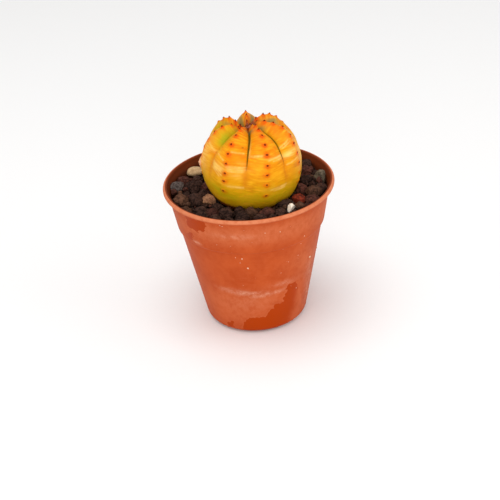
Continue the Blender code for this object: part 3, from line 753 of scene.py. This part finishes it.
# A corky swelling on the left rib, and a smaller one at the back
cork = skin_clouds(((-86, 92.0, 1.9, 6.5, 1.0), (205, 97, 1.8, 5.0, 0.6)))
lift = lift + 0.95 * cork
waves = np.empty(azimuth.shape)
for i in range(azimuth.shape[0]):
    for j in range(azimuth.shape[1]):
        turned_to = azimuth[i, j]
        ring = crest_r[i] / 5.5
        waves[i, j] = noise.noise(Vector((ring * math.sin(turned_to), ring * math.cos(turned_to), crest_z[i] / 5.5)))
lift = lift + 0.22 * waves * soft_step(10, 25, theta_grid)
r = crown_r + lift * out_r
z = crest_z[:, None] + lift * out_z - hollow_depth
x = r * np.sin(azimuth) + CROWN_SHIFT[0] * crown_share
y = -r * np.cos(azimuth) + CROWN_SHIFT[1] * crown_share
local = np.stack([x, y, z], axis=-1)
lean = np.array(Matrix.Rotation(PLANT_LEAN, 3, "Y"))
world = local @ lean.T + np.array(PLANT_CENTRE)
tip = PLANT_CENTRE + Matrix.Rotation(PLANT_LEAN, 3, "Y") @ Vector((0, 0, -TAPROOT_DEPTH))
top = Vector(world[0].mean(axis=0))

bm = bmesh.new()
rings = [[bm.verts.new(top)]]
rings += [[bm.verts.new(point) for point in ring] for ring in world.tolist()]
rings.append([bm.verts.new(tip)])
closed_skin(bm, rings[::-1])
plant = add_piece("ribbed_plant", bm)


def add_skin_field(name, grid):
    """A field over the skin's grid, with its first and last rings' means for the crown's point and the root's tip."""
    grid = np.broadcast_to(grid, azimuth.shape)
    add_field(plant.data, name, np.concatenate([[grid[0].mean()], grid.ravel(), [grid[-1].mean()]]))


# Olive and green patches of the skin; the cloud at azimuth -64 and polar angle 50 is painted shade on the upper left
# flank
GREEN_AND_SHADE_CLOUDS = (
    (-44, 107, 3.4, 5.5, 0.75), (-30, 115, 4.0, 4.0, 0.50), (0, 114, 9.0, 6.0, 0.40), (40, 114, 8.0, 6.0, 0.35),
    (-62, 86, 2.6, 14.0, 0.30), (100, 108, 9.0, 8.0, 0.5), (160, 108, 9.0, 9.0, 0.7), (215, 108, 8.0, 9.0, 0.6),
    (-105, 106, 6.0, 8.0, 0.6), (150, 60, 5.0, 16.0, 0.40), (-110, 62, 4.0, 18.0, 0.45), (245, 44, 4.0, 10.0, 0.50),
    (98, 46, 3.0, 12.0, 0.35), (-64, 50, 5.0, 14.0, 0.30),
)
# Pale patches of the skin; the tall strips at azimuths 80 and -80, near the ball's right and left edges, are a painted
# sheen where the light grazes
PALE_AND_SHEEN_CLOUDS = (
    (52, 67.5, 4.2, 3.2, 1.25), (80, 75, 4.0, 22.0, 0.75), (-80, 76, 3.2, 20.0, 0.70), (-47, 81, 3.0, 5.0, 0.75),
    (-22, 78, 3.8, 2.6, 0.60), (-21, 85, 2.2, 3.4, 0.35), (110, 68, 5.0, 4.0, 0.5), (170, 72, 6.0, 3.0, 0.5),
    (215, 80, 5.0, 3.0, 0.4), (112, 30, 3.0, 12.0, 0.35), (-62, 66, 3.0, 3.0, 0.35), (4, 62, 3.4, 1.6, 0.35),
    (28, 66, 3.2, 1.6, 0.45), (30, 102, 4.0, 2.0, 0.35), (-22, 99, 3.2, 1.8, 0.30), (-12, 70, 2.0, 2.0, 0.3),
)
# Thin pale scratches that run with the bands: both ends as (azimuth, polar angle), and the width in mm
STREAKS = (
    ((-7.2, 32), (-6.6, 62), 0.42), ((-55, 76), (-37, 83), 0.26), ((-54, 79), (-38, 86), 0.24), ((-53, 82), (-39, 89), 0.24), ((-52, 85), (-42, 91), 0.18),
    ((-33, 77), (-9, 74.6), 0.26), ((-31, 79.5), (-10, 77.5), 0.24), ((-31, 82), (-12, 80), 0.22),
    ((18, 68), (38, 64.5), 0.26), ((24, 69.5), (36, 68), 0.18), ((20, 103), (40, 100), 0.30), ((24, 105), (38, 103), 0.22),
    ((-7, 61), (10, 62), 0.30), ((-30, 60), (-14, 58.5), 0.26), ((-84, 60), (-60, 66), 0.28), ((-30, 100), (-12, 99), 0.30),
    ((43, 78), (64, 76), 0.26), ((44, 56), (60, 53), 0.30), ((46, 58), (62, 55.5), 0.22), ((-50, 66), (-38, 71), 0.24),
    ((100, 70), (122, 72), 0.28), ((135, 66), (176, 69), 0.28), ((190, 75), (226, 72), 0.28), ((-120, 70), (-90, 74), 0.26),
)
GREEN_FURROWS = {-58.5: 0.78, -9.5: 0.30, 41.8: 0.42, 98.6: 0.5, 156.0: 0.8, 207.5: 0.9, 254.6: 0.8}

FURROW_GREEN_WIDTH = {-58.5: 2.4, -9.5: 1.0}
furrow_green = np.zeros(azimuth.shape)
for degrees_round, strength in GREEN_FURROWS.items():
    apart = np.abs((azimuth - math.radians(degrees_round) + math.pi) % math.tau - math.pi)
    stripe = strength * np.exp(-((from_furrow / FURROW_GREEN_WIDTH.get(degrees_round, 1.3)) ** 2))
    furrow_green = np.where(apart < math.radians(24), stripe, furrow_green)
furrow_green = furrow_green * soft_step(8, 18, theta_grid) * (1 - soft_step(48, 68, theta_grid))
streaks = np.zeros(azimuth.shape)
for start, end, width in STREAKS:
    streaks = np.maximum(streaks, streak(start, end, width))
dots = np.maximum(streak((-17.2, 51.5), (-16.6, 51.5), 0.20), 0.7 * streak((-89.3, 33.9), (-88.7, 33.9), 0.24))

add_skin_field("polar_angle", theta_grid)
add_skin_field("crown", np.exp(-((crown_r / 5.0) ** 2)) * (crest_z > 0)[:, None])
add_skin_field("rear_flank", rear * (1 - soft_step(34, 48, theta_grid)))
add_skin_field("foot", theta_grid + 5.0 * soft_step(0.35, 0.9, np.abs(np.sin(azimuth))))
add_skin_field("furrow", groove * furrow_line)
add_skin_field("furrow_side", np.exp(-((from_furrow / 1.0) ** 2)))
add_skin_field("crest", np.exp(-((from_crest / 1.5) ** 2)))
add_skin_field("scar", scar)
add_skin_field("halo", halo)
add_skin_field("green", skin_clouds(GREEN_AND_SHADE_CLOUDS) + furrow_green)
# Pale patches of skin, and painted sheen along the ball's left and right edges
add_skin_field("pale", skin_clouds(PALE_AND_SHEEN_CLOUDS))
add_skin_field("streaks", streaks)
add_skin_field("cork", cork)
add_skin_field("dots", dots)
# How much a cross band rises for each mm away from the crest towards the furrows
BAND_RISE = 0.16
banded = np.stack(
    [
        np.sin(azimuth) * crown_r,
        -np.cos(azimuth) * crown_r,
        arc_grid + BAND_RISE * np.abs(from_crest) * soft_step(25, 60, theta_grid),
    ],
    axis=-1,
)
flat = np.concatenate([[banded[0].mean(axis=0)], banded.reshape(-1, 3), [banded[-1].mean(axis=0)]])
bands = plant.data.attributes.new("bands", "FLOAT_VECTOR", "POINT")
bands.data.foreach_set("vector", flat.astype(np.float32).ravel())

ORANGE = (0.80, 0.225, 0.002)
AMBER = (0.80, 0.290, 0.002)
GOLD = (0.64, 0.390, 0.002)
YELLOW_BAND = (0.90, 0.430, 0.012)
PALE_BAND = (0.95, 0.600, 0.150)
RED = (0.74, 0.070, 0.001)
SCAR = (0.080, 0.006, 0.002)
OLIVE = (0.46, 0.380, 0.004)
LEAF_GREEN = (0.34, 0.400, 0.012)
FURROW_LINE = (0.150, 0.095, 0.004)
FURROW_RUST = (0.60, 0.150, 0.002)
CROWN_OLIVE = (0.27, 0.215, 0.070)
CROWN_BROWN = (0.200, 0.050, 0.022)
NEW_GROWTH = (0.52, 0.230, 0.200)
CORK = (0.80, 0.430, 0.230)
FOOT_BROWN = (0.24, 0.050, 0.010)

skin, tree, shader = new_material("ribbed_skin")
here = add_node(tree, "ShaderNodeTexCoord").outputs["Object"]
angle = field(tree, "polar_angle")
lines = add_node(tree, "ShaderNodeAttribute", attribute_name="bands").outputs["Vector"]
bands = grain(tree, stretched(tree, lines, (0.26, 0.26, 1.70)), 1.0, 1.5, 0.45)
broad_bands = grain(tree, stretched(tree, lines, (0.17, 0.17, 0.50)), 1.0, 3.0)
hair_bands = grain(tree, stretched(tree, lines, (0.42, 0.42, 3.0)), 1.0, 1.0)
blotches = grain(tree, here, 260, 4.0)
freckles = grain(tree, here, 1500, 3.0, 0.6)
upright = grain(tree, stretched(tree, lines, (1.1, 1.1, 0.14)), 1.0, 2.0)

colour = mix_colour(tree, rise(tree, angle, 50, 88), ORANGE, AMBER)
low = rise(tree, calc(tree, "MULTIPLY_ADD", blotches, 16.0, angle), 92, 122)
colour = mix_colour(tree, calc(tree, "MULTIPLY", low, 0.85), colour, GOLD)
colour = mix_colour(tree, rise(tree, broad_bands, 0.42, 0.68, 0.0, 0.50), colour, YELLOW_BAND)
colour = mix_colour(tree, rise(tree, broad_bands, 0.46, 0.28, 0.0, 0.40), colour, FURROW_RUST)
colour = mix_colour(tree, rise(tree, upright, 0.52, 0.74, 0.0, 0.35), colour, AMBER)
band_share = calc(tree, "MULTIPLY", rise(tree, bands, 0.50, 0.68), rise(tree, blotches, 0.34, 0.64, 0.25, 1.0))
band_share = calc(tree, "MULTIPLY", band_share, rise(tree, angle, 12, 34, 0.25, 1.0))
colour = mix_colour(tree, calc(tree, "MULTIPLY", band_share, 0.85), colour, YELLOW_BAND)
hair_share = calc(tree, "MULTIPLY", rise(tree, hair_bands, 0.54, 0.70), rise(tree, broad_bands, 0.40, 0.62, 0.2, 1.0))
colour = mix_colour(tree, calc(tree, "MULTIPLY", hair_share, 0.36), colour, YELLOW_BAND)
dark_share = calc(tree, "MULTIPLY", rise(tree, hair_bands, 0.46, 0.30), rise(tree, broad_bands, 0.62, 0.38, 0.3, 1.0))
colour = mix_colour(tree, calc(tree, "MULTIPLY", dark_share, 0.38), colour, FURROW_RUST)
# Pale patches of skin, with a painted sheen along the ball's left and right edges
pale_and_sheen_share = calc(tree, "MULTIPLY", field(tree, "pale"), rise(tree, bands, 0.34, 0.58, 0.35, 1.0))
colour = mix_colour(tree, calc(tree, "MULTIPLY", pale_and_sheen_share, 0.85), colour, PALE_BAND)
streak_share = calc(tree, "MULTIPLY", field(tree, "streaks"), rise(tree, freckles, 0.28, 0.60, 0.35, 1.0))
streak_share = calc(tree, "MULTIPLY", streak_share, rise(tree, blotches, 0.30, 0.58, 0.35, 1.0))
colour = mix_colour(tree, calc(tree, "MULTIPLY", streak_share, 0.80), colour, PALE_BAND)
# Olive and green patches of skin, with painted shade on the upper left flank
green_and_shade_share = calc(tree, "MULTIPLY", field(tree, "green"), rise(tree, blotches, 0.25, 0.65, 0.55, 1.0))
colour = mix_colour(tree, calc(tree, "MULTIPLY", green_and_shade_share, 0.85), colour, OLIVE)
colour = mix_colour(tree, rise(tree, green_and_shade_share, 0.50, 1.10, 0.0, 0.55), colour, LEAF_GREEN)
halo_share = calc(tree, "MULTIPLY", field(tree, "halo"), rise(tree, freckles, 0.2, 0.7, 0.6, 1.0))
halo_share = calc(tree, "MULTIPLY", rise(tree, halo_share, 0.0, 0.95), rise(tree, angle, 112, 42, 0.60, 0.92))
colour = mix_colour(tree, halo_share, colour, RED)
side_share = calc(tree, "MULTIPLY", field(tree, "furrow_side"), rise(tree, angle, 56, 76, 0.0, 0.60))
side_share = calc(tree, "MULTIPLY", side_share, rise(tree, blotches, 0.25, 0.6, 0.4, 1.0))
colour = mix_colour(tree, calc(tree, "MULTIPLY", side_share, rise(tree, angle, 106, 88)), colour, FURROW_RUST)
line_share = calc(tree, "MULTIPLY", rise(tree, field(tree, "furrow"), 0.10, 0.75), 0.92)
colour = mix_colour(tree, line_share, colour, FURROW_LINE)
flank = rise(tree, field(tree, "crest"), 0.80, 0.25)
olive_share = calc(tree, "MULTIPLY", flank, rise(tree, field(tree, "crown"), 0.14, 0.50))
colour = mix_colour(tree, calc(tree, "MULTIPLY", olive_share, 0.9), colour, CROWN_OLIVE)
rear_share = calc(tree, "MULTIPLY", rise(tree, field(tree, "crest"), 0.62, 0.12), field(tree, "rear_flank"))
colour = mix_colour(tree, calc(tree, "MULTIPLY", rear_share, 0.85), colour, CROWN_OLIVE)
crown_share = rise(tree, calc(tree, "MULTIPLY_ADD", blotches, 0.30, field(tree, "crown")), 0.86, 1.06, 0.0, 0.90)
colour = mix_colour(tree, crown_share, colour, CROWN_BROWN)
growth_share = calc(tree, "MULTIPLY", crown_share, rise(tree, freckles, 0.50, 0.62))
colour = mix_colour(tree, calc(tree, "MULTIPLY", growth_share, 0.8), colour, NEW_GROWTH)
cork_share = rise(tree, calc(tree, "MULTIPLY_ADD", blotches, 0.5, field(tree, "cork")), 0.45, 0.95)
colour = mix_colour(tree, cork_share, colour, CORK)
foot_share = rise(tree, calc(tree, "MULTIPLY_ADD", freckles, 6.0, field(tree, "foot")), 131.0, 137.0)
colour = mix_colour(tree, foot_share, colour, FOOT_BROWN)
colour = mix_colour(tree, calc(tree, "MULTIPLY", field(tree, "dots"), 0.85), colour, FURROW_LINE)
scar_edge = calc(tree, "ADD", field(tree, "scar"), calc(tree, "MULTIPLY_ADD", freckles, 0.36, -0.18))
scar_share = rise(tree, scar_edge, -0.09, 0.07)
colour = mix_colour(tree, calc(tree, "MULTIPLY", scar_share, 0.92), colour, SCAR)
tree.links.new(colour, shader.inputs["Base Color"])
shader.inputs["Specular IOR Level"].default_value = 0.07
shader.inputs["Subsurface Weight"].default_value = 0.12
shader.inputs["Subsurface Radius"].default_value = (1.0, 0.4, 0.05)
shader.inputs["Subsurface Scale"].default_value = 0.0012
rough = calc(tree, "MULTIPLY_ADD", blotches, 0.16, 0.40)
rough = calc(tree, "MULTIPLY_ADD", calc(tree, "MAXIMUM", scar_share, cork_share), 0.35, rough)
tree.links.new(rough, shader.inputs["Roughness"])
height = calc(tree, "MULTIPLY_ADD", bands, 0.6, calc(tree, "MULTIPLY", freckles, 0.5))
height = calc(tree, "MULTIPLY_ADD", hair_bands, 0.3, height)
bump = add_node(tree, "ShaderNodeBump", {"Height": height, "Strength": 0.30, "Distance": 0.08 * MM})
tree.links.new(bump.outputs["Normal"], shader.inputs["Normal"])
dress(plant, skin)
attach(plant, "root")
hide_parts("plant")

# The surface stones: crushed volcanic slag in several colours, with a waterworn pebble and two white shards, each
# lying loose on the mix. Their broken faces are blunt and pitted where gas bubbles were cut through.
STONE_DIVISIONS = 5
EDGE_SHARPNESS = {"pale_pebble": 7.0, "tan_pumice": 40.0, "white_grit": 40.0}
USUAL_SHARPNESS = 30.0
PIT_DEPTH = {"pale_pebble": 0.0, "tan_pumice": 0.16, "white_grit": 0.12}
USUAL_PIT_DEPTH = 0.34
ROUGHNESS_HEIGHT = {"pale_pebble": 0.03, "tan_pumice": 0.16, "white_grit": 0.22}
USUAL_ROUGHNESS_HEIGHT = 0.30
STONE_GROWTH = 0.20
# How a few stones differ from their usual outline: stretch along x, y and z, then how far they sit to the side
STONE_STRETCH = {
    "tan_stone": ((1.28, 1.0, 1.05), 0.20),
    "pale_pebble": ((1.20, 1.0, 1.0), -0.35),
    "brick_red_stone": ((1.0, 1.0, 0.84), 0.0),
    "grey_green_stone": ((0.90, 0.95, 1.05), 0.0),
    "white_shard_1": ((1.05, 1.0, 1.45), 0.0),
    "white_shard_2": ((1.45, 1.0, 0.95), 0.0),
}
# Flat broken faces of some stones: (direction, share of the stone's reach that way)
STONE_CUTS = {
    "tan_stone": (((-0.70, -0.30, 0.66), 0.50), ((-0.40, -0.70, -0.60), 0.52), ((0.55, -0.75, 0.30), 0.72)),
    "white_shard_1": (((-0.80, -0.40, 0.45), 0.48), ((0.75, -0.60, -0.20), 0.46), ((0.30, -0.50, 0.80), 0.72)),
    "white_shard_2": (((-0.55, -0.40, 0.75), 0.42), ((0.50, -0.60, -0.60), 0.42)),
    "brick_red_stone": (((0.30, -0.55, 0.78), 0.66), ((-0.60, -0.75, -0.10), 0.72)),
    "grey_green_stone": (((0.62, -0.60, 0.50), 0.66), ((-0.70, -0.55, 0.45), 0.66)),
}


def ball_directions(divisions):
    """(unit directions, faces) of a ball of even triangles."""
    ball_bm = bmesh.new()
    bmesh.ops.create_icosphere(ball_bm, subdivisions=divisions, radius=1.0)
    directions = np.array([v.co[:] for v in ball_bm.verts])
    faces = [[v.index for v in face.verts] for face in ball_bm.faces]
    ball_bm.free()
    return directions / np.linalg.norm(directions, axis=1)[:, None], faces


def blunt_reach(directions, normals, distances, edge_sharpness):
    """How far a blunt-edged stone reaches each way, from its flat faces' planes about its centre."""
    facing = np.clip(directions @ normals.T, 0, None) / distances[None, :]
    return (facing**edge_sharpness).sum(axis=1) ** (-1 / edge_sharpness)


def pitted(points, directions, seed, pit_depth, roughness_height, pit_size=0.55):
    """How far each point of a stone's surface moves out, from cut bubbles and broken grain; mostly inwards."""
    moved = np.empty(len(points))
    for i, (point, direction) in enumerate(zip(points, directions)):
        place = Vector(point) + Vector((seed, 0, -seed))
        broad = noise.noise(place * 0.55) + 1.2 * noise.noise(place * 0.26)
        medium = noise.noise(place * 1.2)
        fine = noise.noise(place * 3.2)
        lumps = min(abs(noise.noise(place * 0.62 + Vector((0, 9, 0)))), 0.40)
        knobs = min(abs(noise.noise(place * 1.5 + Vector((4, 0, 0)))), 0.35)
        out = roughness_height * (1.0 * broad + 0.6 * medium + 0.5 * fine + 2.0 * lumps + 1.1 * knobs - 0.75)
        if pit_depth:
            near = noise.voronoi(place / pit_size)[0][0]
            out -= pit_depth * max(0.0, 1 - (near / 0.5) ** 2) * max(0.0, 0.45 + noise.noise(place * 0.9))
        moved[i] = out
    return moved


# Each finish: the base colour, the deep colour of the dark grain and of the painted shade in hollows, the flecks'
# colour and amount, and the bump
STONE_FINISHES = {
    "dark_lava": ((0.072, 0.032, 0.022), (0.010, 0.005, 0.004), (0.24, 0.13, 0.085), 0.40, 1.0),
    "plum_lava": ((0.130, 0.042, 0.028), (0.020, 0.007, 0.005), (0.30, 0.14, 0.09), 0.40, 1.0),
    "brown_lava": ((0.150, 0.066, 0.036), (0.030, 0.013, 0.008), (0.34, 0.20, 0.12), 0.45, 1.0),
    "grey_lava": ((0.125, 0.096, 0.086), (0.026, 0.018, 0.016), (0.36, 0.30, 0.26), 0.45, 0.8),
    "grey_green_lava": ((0.165, 0.128, 0.084), (0.036, 0.027, 0.018), (0.42, 0.35, 0.25), 0.50, 0.8),
    "brick_red_lava": ((0.270, 0.036, 0.014), (0.055, 0.008, 0.004), (0.42, 0.14, 0.08), 0.35, 0.9),
    "tan_pumice": ((0.400, 0.190, 0.095), (0.120, 0.048, 0.024), (0.66, 0.44, 0.28), 0.55, 0.7),
    "pale_pebble": ((0.640, 0.430, 0.225), (0.420, 0.250, 0.120), (0.74, 0.60, 0.42), 0.35, 0.15),
    "white_grit": ((0.970, 0.900, 0.790), (0.900, 0.740, 0.580), (0.98, 0.96, 0.92), 0.50, 0.3),
}


def stone_material(finish):
    """A stone's material from its row in STONE_FINISHES."""
    base, deep, fleck, fleck_amount, bump_strength = STONE_FINISHES[finish]
    material, tree, shader = new_material(finish)
    surface = add_node(tree, "ShaderNodeGroup", node_tree=stone_surface)
    surface.inputs["Base"].default_value = (*base, 1)
    surface.inputs["Deep"].default_value = (*deep, 1)
    surface.inputs["Fleck"].default_value = (*fleck, 1)
    surface.inputs["Fleck Amount"].default_value = fleck_amount
    tree.links.new(field(tree, "tone"), surface.inputs["Tone"])
    tree.links.new(surface.outputs["Colour"], shader.inputs["Base Color"])
    tree.links.new(surface.outputs["Roughness"], shader.inputs["Roughness"])
    inputs = {"Height": surface.outputs["Height"], "Strength": bump_strength, "Distance": 0.10 * MM}
    bump = add_node(tree, "ShaderNodeBump", inputs)
    tree.links.new(bump.outputs["Normal"], shader.inputs["Normal"])
    shader.inputs["Specular IOR Level"].default_value = 0.12
    return material


stone_materials = {finish: stone_material(finish) for finish in STONE_FINISHES}
slots = {part["node"]: part["material_slot"] for part in frame["record"]["subparts"]}
directions, faces = ball_directions(STONE_DIVISIONS)
stone_pieces = []
for number, name in enumerate(sorted(node for node in frame["nodes"] if node not in ("pot", "plant", "potting_mix"))):
    cad = frame["nodes"][name]
    corners = np.array([(cad.matrix_world @ v.co)[:] for v in cad.data.vertices]) / MM
    middle = corners.mean(axis=0)
    normals = np.array([f.normal[:] for f in cad.data.polygons])
    centres = np.array([(cad.matrix_world @ f.center)[:] for f in cad.data.polygons]) / MM
    distances = ((centres - middle) * normals).sum(axis=1)
    finish = slots[name]
    reach = blunt_reach(directions, normals, distances, EDGE_SHARPNESS.get(finish, USUAL_SHARPNESS))
    points = middle + directions * reach[:, None]
    pit_depth = PIT_DEPTH.get(finish, USUAL_PIT_DEPTH)
    moved = pitted(points, directions, number * 7.3, pit_depth, ROUGHNESS_HEIGHT.get(finish, USUAL_ROUGHNESS_HEIGHT))
    outwards = reach + moved + STONE_GROWTH
    for direction, depth_share in STONE_CUTS.get(name, ()):
        towards = directions @ np.array(Vector(direction).normalized())
        flat_at = depth_share * reach.max() + 0.35 * moved
        outwards = np.where(towards > 0.05, np.minimum(outwards, flat_at / np.clip(towards, 0.05, 1)), outwards)
    stretch, sideways = STONE_STRETCH.get(name, ((1.0, 1.0, 1.0), 0.0))
    points = middle + directions * outwards[:, None] * np.array(stretch) + np.array((sideways, 0, 0))
    mesh = bpy.data.meshes.new(name)
    mesh.from_pydata((points * MM).tolist(), [], faces)
    mesh.shade_smooth()
    pick = random.Random(number)
    add_field(mesh, "tone", np.full(len(points), pick.random()))
    piece = bpy.data.objects.new(f"{name}_piece", mesh)
    bpy.context.scene.collection.objects.link(piece)
    dress(piece, stone_materials[finish])
    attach(piece, "root")
    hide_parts(name)
    stone_pieces.append(piece)

# Smaller stones and grit, of the same crushed slag, that have settled between the surface stones. Each size is let
# down from above onto what lies there already and comes to rest where it would roll no further.
GRID_STEP = 0.16
GRID_HALF = 26.5
BLOCKED = 70.0
# Each size: radius in mm, the most that it may stand above the stones round it, the ball's divisions, and how far
# out it lies at least: the largest are the ones that have rolled against the wall
GRIT_SIZES = (
    (1.75, 0.9, 4, 21.0), (1.45, 0.4, 4, 21.5), (1.40, -0.5, 4, 0.0), (1.10, -0.7, 4, 0.0), (0.85, -1.0, 4, 0.0),
    (0.60, -1.5, 3, 0.0), (0.42, -2.0, 3, 0.0), (0.30, -2.2, 2, 0.0),
)
GRIT_FINISHES = ("dark_lava", "dark_lava", "dark_lava", "plum_lava", "plum_lava", "brown_lava", "tan_pumice")
GRIT_FACETS = 9

axis_x = np.arange(-GRID_HALF, GRID_HALF + GRID_STEP, GRID_STEP)
grid_x, grid_y = np.meshgrid(axis_x, axis_x, indexing="ij")
heights = np.full(grid_x.shape, BLOCKED)
wall_radius = float(np.interp(MIX_TOP + 3, inner_z, inner_r)) - 0.15
plant_foot = plant_axis(MIX_TOP + 1)
plant_reach = float(underside_radius(PLANT_CENTRE.z - MIX_TOP - 0.5)) + 0.3
open_cells = (np.hypot(grid_x, grid_y) < wall_radius) & (
    np.hypot(grid_x - plant_foot.x, grid_y - plant_foot.y) > plant_reach
)
trees = []
for piece in [bed, *stone_pieces]:
    points = places(piece.data)
    polygons = [tuple(p.vertices) for p in piece.data.polygons]
    trees.append((points.min(axis=0), points.max(axis=0), BVHTree.FromPolygons(points.tolist(), polygons)))
for i, j in np.argwhere(open_cells):
    x, y = float(axis_x[i]), float(axis_x[j])
    best = bed_level(x, y) - 0.3
    for low, high, surface_tree in trees:
        if low[0] <= x <= high[0] and low[1] <= y <= high[1] and high[2] > best:
            hit = surface_tree.ray_cast(Vector((x, y, BLOCKED)), Vector((0, 0, -1)))[0]
            if hit:
                best = max(best, hit.z)
    heights[i, j] = best


def shifted(grid, di, dj, fill):
    """The grid moved by whole cells, with the fill value where it has moved off."""
    moved = np.full(grid.shape, fill)
    rows, cols = grid.shape
    moved[max(di, 0):rows + min(di, 0), max(dj, 0):cols + min(dj, 0)] = grid[
        max(-di, 0):rows + min(-di, 0), max(-dj, 0):cols + min(-dj, 0)
    ]
    return moved


def within(radius):
    """The grid offsets inside a radius in mm, with each one's distance."""
    reach = int(radius / GRID_STEP)
    span = range(-reach, reach + 1)
    cells = [(i, j, math.hypot(i, j) * GRID_STEP) for i in span for j in span]
    return [(i, j, away) for i, j, away in cells if away <= radius]


def settle(heights, radius, most_above, least_out):
    """Where balls of a radius come to rest on the heights, as (x, y, z) centres, no two of them touching."""
    centre_z = np.zeros(heights.shape)
    for i, j, away in within(radius):
        centre_z = np.maximum(centre_z, shifted(heights, i, j, BLOCKED) + math.sqrt(radius**2 - away**2))
    lowest = centre_z.copy()
    for i, j, away in within(1.2 * radius):
        lowest = np.minimum(lowest, shifted(centre_z, i, j, BLOCKED))
    around_top = np.zeros(heights.shape)
    for i, j, away in within(2.4)[::3]:
        nearby = shifted(heights, i, j, 0.0)
        around_top = np.maximum(around_top, np.where(nearby < BLOCKED - 1, nearby, 0.0))
    from_plant = np.hypot(grid_x - plant_foot.x, grid_y - plant_foot.y)
    clear = from_plant > underside_radius(np.clip(PLANT_CENTRE.z - centre_z, 0, None)) + 0.9 * radius
    clear &= np.hypot(grid_x, grid_y) >= least_out
    rests = clear & (centre_z <= lowest) & (centre_z < BLOCKED - 5) & (centre_z + radius < around_top + most_above)
    settled = []
    for i, j in np.argwhere(rests):
        centre = (float(axis_x[i]), float(axis_x[j]), float(centre_z[i, j]))
        if all(math.dist(centre, other) >= 1.98 * radius for other in settled):
            settled.append(centre)
    return settled


pick = random.Random(21)
gathered = {finish: ([], [], []) for finish in GRIT_FINISHES}
balls = {divisions: ball_directions(divisions) for _, _, divisions, _ in GRIT_SIZES}
for radius, most_above, divisions, least_out in GRIT_SIZES:
    directions, faces = balls[divisions]
    for centre in settle(heights, radius, most_above, least_out):
        finish = pick.choice(GRIT_FINISHES if radius < 0.5 else GRIT_FINISHES[:-1])
        normals = np.array([Vector([pick.gauss(0, 1) for _ in range(3)]).normalized()[:] for _ in range(GRIT_FACETS)])
        normals = np.concatenate([normals, -normals])
        distances = radius * np.array([pick.uniform(0.72, 1.0) for _ in normals])
        reach = blunt_reach(directions, normals, distances, USUAL_SHARPNESS)
        middle = np.array(centre)
        moved = pitted(directions * reach[:, None], directions, pick.uniform(0, 900), 0.12 * radius, 0.14 * radius)
        points = middle + directions * np.minimum(reach + moved, radius * 1.04)[:, None]
        all_points, all_faces, tones = gathered[finish]
        start = len(all_points)
        all_points.extend((points * MM).tolist())
        all_faces.extend([[start + k for k in face] for face in faces])
        tones.extend([pick.random()] * len(points))
        away = np.hypot(grid_x - centre[0], grid_y - centre[1])
        cap = np.where(away < radius, centre[2] + np.sqrt(np.clip(radius**2 - away**2, 0, None)), 0)
        heights = np.where(heights < BLOCKED - 1, np.maximum(heights, cap), heights)
for finish, (all_points, all_faces, tones) in gathered.items():
    if not all_points:
        continue
    mesh = bpy.data.meshes.new(f"small_stones_{finish}")
    mesh.from_pydata(all_points, [], all_faces)
    mesh.shade_smooth()
    add_field(mesh, "tone", tones)
    piece = bpy.data.objects.new(f"small_stones_{finish}", mesh)
    bpy.context.scene.collection.objects.link(piece)
    dress(piece, stone_materials[finish])
    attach(piece, "root")

# The floor: one wide pale sheet that the pot stands on, with a faint even tooth like card. It isn't part of the
# object.
FLOOR_HALF = 3000.0
bm = bmesh.new()
bmesh.ops.create_grid(bm, x_segments=1, y_segments=1, size=FLOOR_HALF, matrix=Matrix.Translation((0, 0, -0.02)))
floor = add_piece("pale_floor", bm)
card, tree, shader = new_material("pale_card")
here = add_node(tree, "ShaderNodeTexCoord").outputs["Object"]
tooth = grain(tree, here, 900, 3.0)
tree.links.new(mix_colour(tree, tooth, (0.95, 0.95, 0.95), (0.975, 0.975, 0.975)), shader.inputs["Base Color"])
tree.links.new(rise(tree, tooth, 0.3, 0.7, 0.75, 0.85), shader.inputs["Roughness"])
shader.inputs["Specular IOR Level"].default_value = 0.2
dress(floor, card)

# The light: a pale room, a wide soft lamp above and a little in front to the left, and weaker ones that fill in.
ROOM_LIGHT = 0.66
LAMPS = (
    ("overhead", (-0.10, -0.08, 0.70), 0.50, 1.8),
    ("front_fill", (0.00, -0.80, 0.24), 0.55, 2.7),
    ("right_fill", (0.65, -0.20, 0.35), 0.50, 0.7),
)
world = bpy.data.worlds.new("pale_room")
bpy.context.scene.world = world
world.use_nodes = True
world.node_tree.nodes["Background"].inputs["Color"].default_value = (1.0, 0.99, 0.98, 1.0)
world.node_tree.nodes["Background"].inputs["Strength"].default_value = ROOM_LIGHT
for name, place, width, power in LAMPS:
    lamp = bpy.data.objects.new(name, bpy.data.lights.new(name, "AREA"))
    lamp.data.size = width
    lamp.data.energy = power
    lamp.location = place
    lamp.rotation_euler = (Vector((0, 0, 0.035)) - Vector(place)).to_track_quat("-Z", "Y").to_euler()
    bpy.context.scene.collection.objects.link(lamp)
bpy.context.scene.view_settings.view_transform = "Standard"
